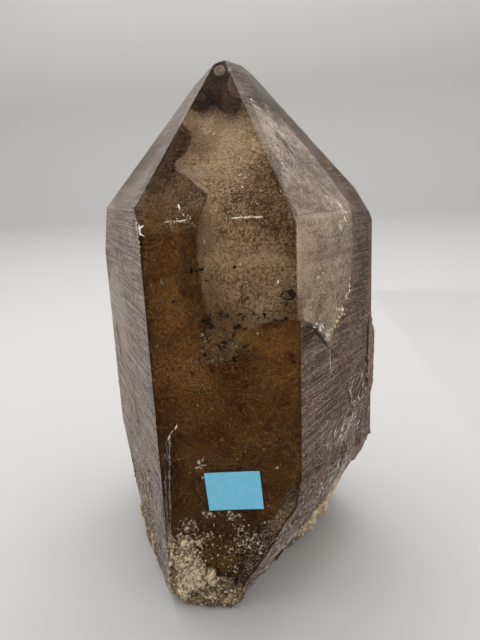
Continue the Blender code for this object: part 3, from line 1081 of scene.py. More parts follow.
# Every sheet: the side it lies under, its outline, and patches as
# (across, height, half width, half height, strength). Depths are behind that side.
veils = {
    # the milky veil that fills the upper front, with a lobed border
    "frontVeil": {
        "side": "front", "depth": 6.0, "wave": 1.1, "seed": 2.0, "frost": 0.3, "ragged": 0.9,
        "shares": (0.42, 0.26, 0.32), "contrast": 1.55,
        "outline": (
            (-3, 218), (-12, 217), (-16, 211), (-12, 206.5), (-10, 203.3), (-12.6, 197.6), (-16.8, 194.8),
            (-16.6, 190.6), (-11.5, 188.2), (-8, 185.5), (-2.6, 181.4), (-2.4, 180), (-4.2, 174.5),
            (-6.4, 169.5), (-6.3, 158.5),
            (-5.7, 149), (-4.9, 143), (-2.8, 136.7), (-4.5, 130), (-6, 123), (-5, 117.5), (-1, 115.5),
            (5.5, 117.5), (9, 122), (11, 128), (17, 132.5), (25, 133.8), (42, 134), (42, 172),
            (33, 186), (22, 202), (14, 216), (9, 227), (4, 233), (1, 230), (5, 221),
        ),
        "pale": (0.95, 0.80, 0.60, 1.0), "dim": (0.16, 0.10, 0.055, 1.0), "cover": 1.1, "tone": 0.52,
        "toned": (
            (0, 208, 11, 7, 0.2), (2, 198, 13, 12, 0.15), (21, 188, 8, 16, -0.25), (24, 172, 9, 8, -0.2),
            (3, 150, 8, 22, 0.12), (21, 144, 13, 8, -0.04), (20, 158, 12, 2.5, 0.22), (1, 122, 9, 8, -0.05),
            (8, 176, 14, 4, -0.1), (12, 180, 5, 4, -0.25), (-2, 168, 5, 4, 0.15), (10, 182, 16, 8, -0.12),
            (24, 178, 10, 22, -0.2), (8, 224, 5, 9, -0.3),
        ),
        "frosted": (
            (-3, 205, 11, 12, 1.0), (6, 196, 14, 16, 0.6), (-2, 168, 5, 5, 1.2), (19, 159, 11, 3, 0.9),
            (-9, 190, 7, 4, 1.1), (0, 124, 12, 12, -1.0), (12, 131, 8, 5, -1.0),
        ),
        "thinned": (
            (26, 185, 8, 12, -0.2), (24, 168, 14, 3, -0.2), (26, 132, 14, 4, -0.3), (1, 121, 9, 8, -0.35),
        ),
    },
    # dark smoke that fills the very tip
    "tipSmoke": {
        "side": "front", "depth": 0.8, "wave": 0.2, "cell": 0.5, "fade": 2.0, "ragged": 2.6, "seed": 3.0,
        "grain": 0.6, "cloud": 4.0,
        "outline": (
            (1, 238), (-3.4, 237), (-7.4, 232), (-10.4, 224), (-12.4, 217.5), (-9.4, 215.4), (-6, 213.6),
            (-3.8, 216.6), (-1, 217.6), (1.6, 215.6), (4, 212.8), (7.6, 211.6), (10, 215), (9, 219.4),
            (6, 222), (5, 227), (5.6, 232), (3.4, 236),
        ),
        "pale": (0.17, 0.085, 0.045, 1.0), "dim": (0.008, 0.003, 0.001, 1.0), "cover": 2.0, "tone": 0.2,
        "contrast": 1.4, "patchy": 0.5,
        "toned": ((5, 218, 3.5, 7, 0.3), (-2, 234, 4, 3, 0.15), (-2, 222, 5, 7, -0.15), (0, 213, 9, 2, 0.2)),
    },
    # khaki haze in the left of the termination, below the smoke of its edge
    "leftCrownHaze": {
        "side": "front", "depth": 2.6, "wave": 0.4, "seed": 13.0,
        "outline": (
            (-32, 168.6), (-32, 169), (-32, 176), (-27.5, 184.5), (-21.5, 194), (-17, 203), (-15.5, 209),
            (-12, 208), (-8.6, 204), (-11.4, 198.4), (-15.4, 196), (-15, 191.8), (-9.6, 189), (-6.8, 186.8),
            (-1.6, 182.8), (-1, 181), (-3, 175), (-5, 169), (-5.2, 168.6),
        ),
        "fade": 0.5, "ragged": 0.7, "rounds": 1,
        "pale": (0.50, 0.35, 0.23, 1.0), "dim": (0.06, 0.035, 0.02, 1.0), "cover": 0.9, "tone": 0.42,
        "contrast": 1.3,
        "toned": (
            (-15, 200, 6, 9, -0.3), (-4, 184, 4, 4, -0.15), (-20, 181, 9, 8, 0.1), (-12, 188, 4, 3, 0.2),
            (-14, 171, 14, 3, 0.05), (-20, 188, 7, 5, -0.12),
        ),
        "thinned": ((-4, 184, 4, 4, -0.15),),
    },
    # fine dust under the whole front
    "frontDust": {
        "side": "front", "depth": 1.4, "wave": 0.3, "cell": 0.8, "fade": 0.4, "seed": 4.0, "rounds": 1,
        "cloud": 12.0,
        "outline": (
            (-31, 4), (-31, 176), (-4, 234), (4, 234), (34, 172), (34, 68), (32.8, 59.8), (32, 53.5),
            (29.8, 49), (27.1, 46), (21.5, 34.4), (14.3, 22), (9.1, 14), (4.5, 5), (0.5, 0.6), (-10, 0.6),
        ),
        "grain": 0.5, "coarse": 8.0, "detail": 3.0, "shares": (0.54, 0.14, 0.32),
        "pale": (0.62, 0.35, 0.125, 1.0), "dim": (0.03, 0.012, 0.003, 1.0), "cover": 0.5, "tone": 0.395,
        "contrast": 1.0, "patchy": 0.15,
        "toned": (
            (-14, 113, 12, 8, 0.16), (-6, 122, 9, 8, 0.12), (-14, 172, 13, 2.5, 0.1), (-18, 140, 9, 14, 0.12),
            (-8, 28, 18, 14, 0.1), (24, 116, 12, 10, 0.12), (-18, 158, 9, 8, 0.08), (-23, 80, 6, 34, -0.14),
            (-23, 60, 5, 20, -0.12), (20, 128, 14, 7, 0.5), (24, 62, 9, 16, 0.12), (-24, 14, 12, 20, -0.1),
        ),
        "thinned": (
            (-14, 113, 12, 8, 0.3), (-14, 172, 13, 2.5, 0.2), (-16, 141, 11, 12, 0.25),
            (-8, 28, 20, 14, 0.3), (20, 112, 14, 9, 0.2), (14, 156, 21, 23, -1.2), (8, 190, 16, 26, -1.2),
            (26, 166, 12, 34, -1.0), (-14, 190, 15, 16, -0.7), (-4, 222, 8, 16, -1.2),
        ),
    },
    # brown band inside the left edge of the termination
    "leftCrownSmoke": {
        "side": "front", "depth": 1.6, "wave": 0.4, "fade": 1.4, "ragged": 1.2, "seed": 5.0, "cell": 0.5,
        "outline": (
            (-16, 211), (-12, 207.5), (-9.4, 204.6), (-12.4, 198.4), (-15.6, 196), (-15.4, 191.5),
            (-17, 187), (-22, 182), (-27, 183), (-23, 191), (-19, 200),
        ),
        "pale": (0.24, 0.15, 0.10, 1.0), "dim": (0.028, 0.016, 0.010, 1.0), "cover": 1.2, "tone": 0.34,
        "toned": ((-14, 204, 5, 5, -0.1), (-21, 184, 6, 4, 0.15)), "thinned": ((-22, 184, 7, 4, -0.5),),
    },
    # cream feather under the right termination face
    "rightCrownFeather": {
        "side": "right", "depth": 2.4, "wave": 0.8, "seed": 6.0, "fade": 3.5, "ragged": 1.8,
        "outline": (
            (-30, 168), (-30, 172), (-22, 189), (-13.5, 206), (-5.5, 219), (0, 223.5), (9, 222), (17, 214),
            (21, 198), (24, 184), (22, 172), (20, 168),
        ),
        "cloud": 5.0, "contrast": 1.9, "shares": (0.38, 0.22, 0.40),
        "pale": (1.0, 0.87, 0.74, 1.0), "dim": (0.17, 0.115, 0.075, 1.0), "cover": 1.15, "tone": 0.57,
        "toned": (
            (-6, 211, 8, 10, 0.36), (-17, 193, 5, 9, -0.25), (8, 188, 13, 10, -0.32),
            (-12, 178, 14, 7, -0.36), (12, 212, 6, 6, -0.3), (6, 222, 6, 4, -0.3), (0, 202, 3, 8, -0.4),
            (10, 214, 3, 5, -0.35), (10, 176, 5, 4, 0.25),
        ),
        "thinned": ((-17, 193, 5, 9, -0.3), (4, 225, 8, 6, -0.5)),
    },
    # pale lens under the right prism face
    "rightLensVeil": {
        "side": "right", "depth": 1.6, "wave": 0.3, "fade": 0.7, "ragged": 0.4, "rounds": 1, "seed": 7.0,
        "frost": 0.25,
        "outline": (
            (-30, 174), (-30, 173), (-30, 136), (-30, 135), (-24, 132.4), (-19.9, 130.8), (-15, 127.5),
            (-11, 124), (-5, 117.4), (-3.4, 116.8), (-1.6, 118.6), (4.4, 126.1), (9, 130), (13.5, 135.4),
            (16.6, 141), (18.6, 148), (19.4, 156), (19, 164), (17.5, 173), (17.4, 174),
        ),
        "pale": (1.0, 0.86, 0.70, 1.0), "dim": (0.26, 0.18, 0.115, 1.0), "cover": 1.1, "tone": 0.5,
        "contrast": 1.5, "frostColour": (0.95, 0.86, 0.72, 1.0),
        "toned": (
            (-24, 150, 7, 20, 0.12), (-12, 143, 10, 8, -0.1), (2, 128, 7, 9, 0.2), (8, 160, 8, 10, -0.1),
            (12, 138, 5, 9, 0.12),
        ),
        "frosted": ((1, 127, 6, 8, 0.8), (-24, 150, 8, 22, 0.4)),
    },
    # thin brown dust under the rest of the right prism face
    "rightDust": {
        "side": "right", "depth": 1.2, "wave": 0.3, "cell": 0.9, "fade": 1.2, "rounds": 1, "seed": 8.0,
        "outline": (
            (20, 172), (34, 172), (38, 160), (38, 92), (20, 84), (-30, 66), (-30, 130), (-20, 127),
            (-11, 120), (-4, 112), (1, 117), (7, 124), (13, 129), (18, 136), (21, 146), (22, 157),
        ),
        "pale": (0.46, 0.31, 0.19, 1.0), "dim": (0.035, 0.019, 0.010, 1.0), "cover": 0.5, "tone": 0.42,
    },
    # dusty haze where the front runs out into the broken flank
    "footHaze": {
        "side": "front", "depth": 0.35, "wave": 0.1, "cell": 0.5, "seed": 14.0, "fade": 2.2, "ragged": 1.6,
        "outline": (
            (32, 66), (32, 56), (29.6, 50), (26.9, 46.6), (21.3, 35), (14.3, 22.6), (8.9, 14), (4.3, 5),
            (0, 6), (3, 16), (8, 27), (12, 37), (17, 45), (23, 53), (28, 66),
        ),
        "pale": (0.50, 0.36, 0.24, 1.0), "dim": (0.06, 0.034, 0.018, 1.0), "cover": 0.8, "tone": 0.42,
        "contrast": 1.3, "patchy": 0.8, "toned": ((22, 46, 4, 6, 0.3), (31, 60, 3, 6, -0.3)),
    },
    # healed fractures that the other sides show
    "leftVeil": {
        "side": "left", "depth": 4.0, "wave": 1.4, "seed": 9.0, "cell": 0.9, "fade": 4.0, "ragged": 2.0,
        "outline": (
            (-44, 170), (-18, 196), (6, 206), (20, 176), (12, 140), (-8, 118), (-34, 124), (-48, 146),
        ),
        "pale": (0.95, 0.84, 0.70, 1.0), "dim": (0.16, 0.11, 0.07, 1.0), "cover": 0.6,
    },
    "rearVeil": {
        "side": "back", "depth": 5.0, "wave": 2.0, "seed": 10.0, "cell": 1.0, "fade": 5.0, "ragged": 2.0,
        "outline": ((-30, 160), (-14, 196), (8, 204), (26, 176), (34, 132), (16, 96), (-6, 88), (-24, 118)),
        "pale": (0.95, 0.82, 0.66, 1.0), "dim": (0.16, 0.10, 0.06, 1.0), "cover": 0.7,
    },
    "rearLeftVeil": {
        "side": "backLeft", "depth": 4.0, "wave": 1.4, "seed": 11.0, "cell": 1.0, "fade": 4.0, "ragged": 2.0,
        "outline": ((-24, 140), (-12, 190), (6, 196), (16, 170), (10, 120), (-8, 84), (-22, 96)),
        "pale": (0.95, 0.84, 0.70, 1.0), "dim": (0.16, 0.11, 0.07, 1.0), "cover": 0.6,
    },
    "rearRightVeil": {
        "side": "backRight", "depth": 4.0, "wave": 1.4, "seed": 12.0, "cell": 1.0, "fade": 4.0, "ragged": 2.0,
        "outline": ((-12, 176), (0, 208), (12, 196), (24, 160), (26, 110), (10, 82), (-10, 92), (-18, 140)),
        "pale": (0.95, 0.84, 0.70, 1.0), "dim": (0.16, 0.11, 0.07, 1.0), "cover": 0.6,
    },
}


def makeVeils(groups):
    for name, settings in veils.items():
        veil = {**veilDefaults, **settings}
        finishPiece(makeSheet(name, veil), makeVeilMaterial(name, veil, groups), "smoky_quartz")


# Grains, flakes and cracks

def makeGrains(name, centres, axes, sizes, tones, seed, detail=1, jitter=0.3):
    # irregular closed grains joined in one mesh; sizes are half sizes along each grain's three axes
    block = bmesh.new()
    bmesh.ops.create_icosphere(block, subdivisions=detail, radius=1.0)
    base = np.array([vert.co for vert in block.verts])
    faces = np.array([[vert.index for vert in face.verts] for face in block.faces])
    block.free()
    rng = np.random.default_rng(seed)
    count = len(centres)
    uneven = rng.uniform(-1, 1, (count, len(base), 1)) * (jitter if detail == 1 else 0.6 * jitter)
    shapes = base[None] * (1 + uneven) * sizes[:, None, :]
    verts = centres[:, None, :] + np.einsum("nvk,nkj->nvj", shapes, axes)
    faces = faces[None] + (np.arange(count) * len(base))[:, None, None]
    grains = meshObject(name, verts.reshape(-1, 3), faces.reshape(-1, 3), smooth=detail > 1)
    addAttribute(grains.data, "tone", np.repeat(tones, len(base)))
    return grains


def spunAxes(rng, name, count, tilt):
    # axes of grains that lie along a side: turned at random in its plane and tilted a little
    turn, slopes, _ = crystalSides[name]
    normal = outward(turn, slopes[0])
    along = alongSide(turn)
    up = np.cross(normal, along)
    angle = rng.uniform(0, 2 * math.pi, count)
    first = np.cos(angle)[:, None] * along + np.sin(angle)[:, None] * up
    third = normal + tilt * rng.normal(size=(count, 3))
    third /= np.linalg.norm(third, axis=1, keepdims=True)
    second = np.cross(third, first)
    second /= np.linalg.norm(second, axis=1, keepdims=True)
    return np.stack((np.cross(second, third), second, third), 1)


def scatterIn(rng, zone, count):
    # seeded places in soft oval zones: across, height, half width, half height, share of the count
    shares = np.array([row[4] for row in zone])
    picks = rng.choice(len(zone), count, p=shares / shares.sum())
    rows = np.array(zone)[picks]
    offset = rng.normal(size=(count, 2)) * 0.5
    return rows[:, 0] + offset[:, 0] * rows[:, 2], rows[:, 1] + offset[:, 1] * rows[:, 3]


def flakeSizes(rng, size, widths, flat):
    # half sizes of flattened grains: along, across and through each
    shares = (rng.uniform(0.8, 1.6, len(size)), rng.uniform(*widths, len(size)), np.full(len(size), flat))
    return size[:, None] * np.column_stack(shares)


# Loose grains and flakes: side, range of depth behind it, range of half size, thickness as a share
# of that, colours and zones. A higher few makes large grains fewer.
grainSets = {
    "goldFlakes": {
        "side": "front", "count": 1100, "depth": (0.5, 4.0), "size": (0.14, 0.5), "flat": 0.3, "seed": 301,
        "dim": (0.30, 0.17, 0.07, 1.0), "pale": (1.0, 0.68, 0.32, 1.0),
        "zones": (
            (-13, 113, 13, 9, 5), (-6, 123, 10, 8, 3), (-18, 150, 8, 8, 1), (5, 88, 26, 26, 3),
            (0, 150, 30, 22, 1), (-12, 190, 12, 14, 2), (10, 195, 14, 20, 3), (-2, 50, 24, 18, 2.5),
        ),
    },
    "creamFlakes": {
        "side": "front", "count": 190, "depth": (0.3, 1.3), "size": (0.22, 0.85), "flat": 0.4, "seed": 302,
        "dim": (0.22, 0.15, 0.08, 1.0), "pale": (0.58, 0.46, 0.30, 1.0),
        "zones": (
            (-4.2, 127, 1.6, 5, 3), (6.6, 125.4, 2.4, 2.2, 4), (-2.8, 119.4, 4, 1.8, 3),
            (-10, 118, 8, 4, 1.5), (-22, 150, 3, 2, 1), (-12, 107, 10, 3, 1.5),
            (-14, 172, 14, 2.5, 3), (14, 174.3, 9, 0.6, 2),
            (24, 72, 1, 1, 0.3), (-16, 77, 5, 5, 0.4), (-22, 122, 5, 5, 0.8),
        ),
    },
    "darkSpecks": {
        "side": "front", "count": 260, "depth": (0.4, 3.0), "size": (0.18, 0.6), "flat": 0.5, "seed": 303,
        "dim": (0.006, 0.004, 0.003, 1.0), "pale": (0.05, 0.025, 0.012, 1.0),
        "zones": (
            (-3, 135, 3, 3, 3), (4, 137, 4, 2, 3), (9, 131, 4, 5, 3), (3, 125, 3, 3, 3), (-5, 120, 4, 4, 3),
            (-6, 155, 3, 1.5, 1), (-18, 143, 5, 5, 2), (-14, 128, 8, 6, 2), (18, 124, 18, 10, 4),
            (17, 137, 8, 2, 4), (10, 137, 3, 2, 2), (29, 119, 3, 4, 2), (26, 134.5, 6, 1.5, 2),
            (4, 40, 22, 12, 4), (16, 186, 8, 12, 2),
        ),
    },
    # pale flakes painted as glints, and brown wisps, over the veil
    "veilPaintedGlints": {
        "side": "front", "count": 90, "depth": (0.1, 0.5), "size": (0.2, 0.7), "flat": 0.3, "seed": 312,
        "dim": (0.55, 0.42, 0.29, 1.0), "pale": (1.0, 0.88, 0.74, 1.0),
        "zones": (
            (-2, 206, 3, 3, 1), (1, 191, 3, 3, 1), (12, 188, 3, 3, 1.5), (14, 182, 8, 6, 4),
            (4, 198, 10, 10, 3), (22, 160, 8, 8, 1), (12, 150, 14, 14, 2), (-3, 168, 4, 4, 1),
        ),
    },
    "veilWisps": {
        "side": "front", "count": 120, "depth": (0.8, 2.0), "size": (0.2, 0.7), "flat": 0.25, "seed": 313,
        "dim": (0.20, 0.125, 0.065, 1.0), "pale": (0.42, 0.29, 0.17, 1.0),
        "zones": (
            (-8, 206, 5, 4, 1), (15, 183, 8, 7, 4), (20, 190, 5, 12, 2), (8, 177, 12, 3, 2),
            (8, 208, 6, 8, 1), (24, 166, 6, 5, 1),
        ),
    },
    # golden flakes along the rim of the lens, painted as sparkle
    "lensPaintedSparks": {
        "side": "right", "count": 190, "depth": (-0.2, 0.1), "size": (0.2, 0.7), "flat": 0.4, "seed": 314,
        "dim": (0.62, 0.46, 0.26, 1.0), "pale": (1.0, 0.88, 0.62, 1.0),
        "zones": (
            (6, 131, 4, 3, 4), (11, 136, 3, 3, 3), (2, 128, 3, 3, 4), (14, 142, 2, 4, 2), (-6, 124, 3, 3, 3),
            (7, 171, 3, 4, 3), (3, 179, 3, 3, 2), (-16, 145, 8, 14, 2),
        ),
    },
    # pale flakes under the right termination, painted as white glints
    "crownPaintedGlints": {
        "side": "right", "count": 240, "depth": (0.4, 2.2), "size": (0.2, 0.8), "flat": 0.25, "seed": 304,
        "dim": (0.6, 0.5, 0.42, 1.0), "pale": (1.0, 0.95, 0.88, 1.0),
        "zones": (
            (-6, 212, 8, 10, 3), (-13, 194, 4, 9, 3), (8, 175, 4, 3, 2), (4, 168, 4, 3, 2),
            (-5, 118, 4, 4, 3), (10, 190, 10, 12, 2),
        ),
    },
    # bright chips on the surface of the shoulder and the edges, partly painted glints
    "shoulderChipsAndGlints": {
        "side": "front", "count": 150, "depth": (-0.12, 0.02), "size": (0.16, 0.5), "flat": 0.3, "seed": 305,
        "dim": (0.30, 0.25, 0.18, 1.0), "pale": (0.80, 0.74, 0.62, 1.0),
        "zones": (
            (14, 174.2, 6, 0.35, 4), (-12, 173.6, 4, 0.6, 2), (-27.2, 171.5, 0.9, 2.6, 3),
            (-9, 177, 4, 3, 2), (-27, 165, 0.5, 6, 1), (6, 199, 8, 8, 1),
        ),
    },
    # pale chips on the right side, partly painted glints along the shoulder, the lens and the crown
    "rightChipsAndGlints": {
        "side": "right", "count": 300, "depth": (-0.1, 0.05), "size": (0.16, 0.75), "flat": 0.3, "seed": 306,
        "dim": (0.32, 0.26, 0.20, 1.0), "pale": (0.90, 0.84, 0.75, 1.0),
        "zones": (
            (9, 176.6, 2, 2, 4), (9, 172.6, 2, 2.5, 4), (4, 168, 2, 3, 4), (-13, 128.6, 4, 2, 4),
            (-7, 123, 3.4, 3, 5), (-20, 131, 5, 2, 3), (-3, 66, 12, 12, 2),
            (-5, 219.5, 2.4, 1.6, 2), (-4, 112, 3, 5, 1), (-15, 190, 3, 9, 1.5), (18, 86, 1.5, 7, 2),
            (0, 206, 7, 9, 2),
        ),
    },
    # pale grains of crust scattered over the foot
    "footGrains": {
        "side": "front", "count": 640, "depth": (-0.35, 0.15), "size": (0.18, 0.8), "flat": 0.6, "seed": 307,
        "dim": (0.13, 0.09, 0.052, 1.0), "pale": (0.50, 0.40, 0.28, 1.0),
        "zones": (
            (-7, 48.5, 2.5, 2, 3), (3.5, 48, 2.5, 2.5, 4), (-16, 42, 4, 3.5, 5), (-22, 36, 4, 4, 4),
            (6, 41, 4, 4, 4), (11, 36, 5, 5, 9), (6, 33, 5, 5, 5), (15.5, 31.5, 3, 4, 2), (-9, 36, 6, 6, 5),
            (-4, 28, 8, 5, 2), (18, 44, 4, 5, 2), (-12, 27, 4, 3, 2), (2, 20, 9, 8, 2.5), (-9, 72, 2.5, 4, 2),
            (23, 72, 0.5, 0.5, 0.3),
        ),
    },
    # lumps and small crystals of the crust
    "crustLumps": {
        "side": "front", "count": 300, "depth": (-1.5, 0.2), "size": (0.35, 1.4), "flat": 0.8, "seed": 311,
        "few": 2.0, "round": True,
        "dim": (0.15, 0.10, 0.05, 1.0), "pale": (0.60, 0.48, 0.32, 1.0),
        "zones": (
            (-18, 14, 8, 12, 10), (-21, 27, 5, 7, 4), (-7.7, 15.9, 1.5, 4.5, 3), (-24, 8, 4, 7, 3),
            (-3, 5, 8, 4, 4), (-13, 4, 9, 3, 4), (-17, 36, 4, 4, 1.5),
        ),
    },
    "flankGrains": {
        "side": "rightFlank", "count": 520, "depth": (-0.6, 0.2), "size": (0.25, 1.2), "flat": 0.7,
        "seed": 308, "dim": (0.09, 0.062, 0.036, 1.0), "pale": (0.46, 0.36, 0.25, 1.0),
        "zones": (
            (24, 17, 7, 6, 5), (16, 12, 9, 7, 7), (-18, 34, 8, 10, 1.5), (0, 45, 14, 12, 0.6),
        ),
    },
    "leftGrains": {
        "side": "left", "count": 380, "depth": (-0.5, 0.2), "size": (0.2, 0.8), "flat": 0.7, "seed": 309,
        "dim": (0.06, 0.042, 0.024, 1.0), "pale": (0.34, 0.27, 0.19, 1.0),
        "zones": (
            (4, 13, 6, 9, 6), (-4, 31, 6, 8, 4), (7, 49, 5, 8, 3), (-30, 30, 14, 14, 4),
            (-10, 8, 14, 6, 4),
        ),
    },
}


def makeGrainMaterial(name, dim, pale):
    # each grain is dim, pale or between, as its tone says
    material, tree, shader = newMaterial(name, Roughness=0.7, Specular_IOR_Level=0.35)
    tree.links.new(mixColours(tree, attributeValue(tree, "tone"), dim, pale), shader.inputs["Base Color"])
    return material


def makeGrainSets(tree):
    for name, g in grainSets.items():
        rng = np.random.default_rng(g["seed"])
        count = g["count"]
        s, z = scatterIn(rng, g["zones"], count)
        z = np.maximum(z, 1.4 * g["size"][1])     # clear of the floor
        depth = rng.uniform(*g["depth"], count)
        outside = g["depth"][0] < 0
        centres = onSkin(tree, g["side"], s, z, -depth) if outside else under(g["side"], s, z, depth)
        size = between(g["size"], rng.random(count) ** g.get("few", 2.5))
        sizes = flakeSizes(rng, size, (0.5, 1.0), g["flat"])
        axes = spunAxes(rng, g["side"], count, 0.35)
        detail = 2 if g.get("round") else 1
        grains = makeGrains(name, centres, axes, sizes, rng.random(count), g["seed"] + 1, detail)
        finishPiece(grains, makeGrainMaterial(name, g["dim"], g["pale"]), "smoky_quartz")


# Branching black specks that grew along healed cracks: across, height, steps and heading
speckChains = {
    "depth": (0.5, 1.2), "step": 0.42, "bend": 1.1, "size": (0.24, 0.62), "seed": 320,
    "dim": (0.004, 0.003, 0.002, 1.0), "pale": (0.03, 0.015, 0.008, 1.0),
    "starts": (
        (-7.9, 154.6, 4, 330), (-4.4, 155.6, 4, 300), (-4.8, 135.2, 6, 20), (-3.0, 134.2, 5, 350),
        (-2.4, 136.8, 4, 270), (-1.0, 133.4, 4, 250), (2.4, 137.2, 5, 330), (4.4, 136.8, 4, 0),
        (6.6, 129.2, 6, 75), (7.2, 132.4, 6, 15), (9.4, 133.0, 6, 340), (11.0, 131.8, 8, 265),
        (9.4, 137.6, 5, 310), (11.0, 135.6, 4, 60), (14.4, 137.8, 5, 290), (16.6, 136.2, 5, 50),
        (19.0, 138.0, 4, 20), (1.4, 123.6, 6, 60), (3.2, 126.6, 6, 330), (5.2, 127.4, 5, 300),
        (2.4, 125.0, 4, 10), (-4.6, 122.4, 5, 310), (-7.4, 119.0, 5, 60), (-2.8, 115.4, 5, 40),
        (6.6, 120.2, 5, 270), (7.6, 116.6, 5, 280), (11.0, 124.4, 6, 350), (29.4, 120.6, 6, 300),
        (30.6, 117.8, 5, 270), (27.0, 135.6, 4, 330), (24.0, 134.8, 4, 0), (-18.8, 114.8, 5, 30),
        (-10.6, 113.6, 5, 30), (12.6, 149.6, 2, 0), (8.4, 156.0, 2, 0), (2.0, 153.0, 3, 330),
        (-2.6, 151.2, 2, 30),
    ),
}


def makeSpeckChains():
    c = speckChains
    rng = np.random.default_rng(c["seed"])
    places = []
    for s, z, steps, heading in c["starts"]:
        angle, size = math.radians(heading), rng.uniform(*c["size"])
        for _ in range(steps):
            places.append((s, z, size * rng.uniform(0.6, 1.3)))
            angle += rng.normal() * c["bend"]
            s, z = s + c["step"] * math.cos(angle), z + c["step"] * math.sin(angle)
    s, z, size = np.array(places).T
    count = len(s)
    centres = under("front", s, z, rng.uniform(*c["depth"], count))
    sizes = flakeSizes(rng, size, (0.7, 1.1), 0.5)
    axes = spunAxes(rng, "front", count, 0.3)
    specks = makeGrains("branchingSpecks", centres, axes, sizes, rng.random(count), c["seed"] + 1)
    finishPiece(specks, makeGrainMaterial("blackSpecks", c["dim"], c["pale"]), "smoky_quartz")


# Dark ring with a blob on its right, sealed just under the front
ringSettings = {
    "centre": (28.2, 145.0), "reach": (2.3, 1.7), "depth": 0.8, "thickness": 0.32, "seed": 331,
    "blobTurn": 0.35,        # radians up from the right
    "window": (2.0, 1.8, 0.25),      # half sizes of the brown grain that fills the ring
    "dim": (0.006, 0.004, 0.003, 1.0), "pale": (0.26, 0.17, 0.085, 1.0),
}


def makeRing():
    r = ringSettings
    rng = np.random.default_rng(r["seed"])
    turns = np.linspace(0, 2 * math.pi, 34, endpoint=False)
    blob = np.clip(np.cos(turns - r["blobTurn"]), 0, 1) ** 3
    thick = r["thickness"] * (1 + 2.6 * blob) * rng.uniform(0.65, 1.3, len(turns))
    wobble = 1 + 0.08 * rng.normal(size=len(turns))
    s = np.append(r["centre"][0] + r["reach"][0] * np.cos(turns) * wobble, r["centre"][0])
    z = np.append(r["centre"][1] + r["reach"][1] * np.sin(turns) * wobble, r["centre"][1])
    depth = np.append(np.full(len(turns), r["depth"]), r["depth"] + 0.5)
    sizes = np.vstack((thick[:, None] * np.array((1.25, 1.0, 0.6)), r["window"]))
    tones = np.append(0.12 * rng.random(len(turns)), 1.0)
    axes = spunAxes(rng, "front", len(s), 0.12)
    centres = under("front", s, z, depth)
    ring = makeGrains("ringInclusion", centres, axes, sizes, tones, r["seed"] + 1, jitter=0.2)
    finishPiece(ring, makeGrainMaterial("ringSmoke", r["dim"], r["pale"]), "smoky_quartz")


# Crust of iron-stained grains grown on the foot and the low edges. Lumps are
# (across, height, half width, half height, thickness), and tones make places paler or darker. Low
# and high are opposite corners of the area, and grit is how rough the crust is.
crusts = {
    "frontCrust": {
        "side": "front", "low": (-34.0, 0.05), "high": (18.0, 38.0), "seed": 401, "grit": 0.6,
        "lumps": (
            (-18.6, 17, 10, 13, 2.6), (-20, 28, 7, 7, 1.6), (-24, 8, 6, 9, 1.9), (-7.7, 15.9, 2.2, 5, 2.2),
            (-3, 5, 10, 6, 1.9), (-12, 4, 10, 5, 1.9), (-17, 34, 4, 4, 1.2), (-25.5, 30, 3, 8, 1.2),
            (-1, 12, 6, 5, 1.0), (6, 5, 7, 5, 1.5), (11, 10, 5, 4, 0.9),
        ),
        "tones": (
            (-17, 18, 7, 9, 0.34), (-7.7, 15.9, 3, 5, 0.45), (-3, 5, 10, 6, -0.2), (-14, 3, 10, 4, -0.18),
            (-22, 31, 5, 6, -0.05), (0, 13, 5, 5, -0.2), (8, 6, 6, 5, -0.1), (-25, 14, 3, 9, -0.25),
        ),
    },
    "flankCrust": {
        "side": "rightFlank", "low": (2.0, 0.05), "high": (52.0, 40.0), "seed": 402, "grit": 0.4,
        "lumps": (
            (12, 8, 8, 6, 2.2), (19, 13, 9, 7, 2.4), (26, 17, 7, 7, 1.9), (33, 25, 5, 7, 1.0),
            (33, 10, 7, 6, 1.0), (4, 4, 6, 4, 1.0),
        ),
        "tones": ((22, 16, 18, 13, 0.6), (34, 26, 8, 10, 0.6)),
    },
    "leftCrust": {
        "side": "left", "low": (-30.0, 0.05), "high": (14.0, 62.0), "seed": 403, "grit": 0.6,
        "lumps": (
            (5, 12, 4, 9, 1.6), (-3.9, 31, 4, 8, 1.2), (6, 46, 3, 8, 1.1), (-10, 8, 7, 6, 1.4),
            (-20, 14, 6, 6, 1.2),
        ),
        "tones": ((5, 12, 5, 8, 0.1), (-12, 8, 8, 6, -0.2)),
    },
}
crustSettings = {
    "cell": 0.45, "sunk": 0.4,
    "dim": (0.055, 0.036, 0.018, 1.0), "middle": (0.17, 0.115, 0.062, 1.0),
    "pale": (0.60, 0.48, 0.33, 1.0),
}


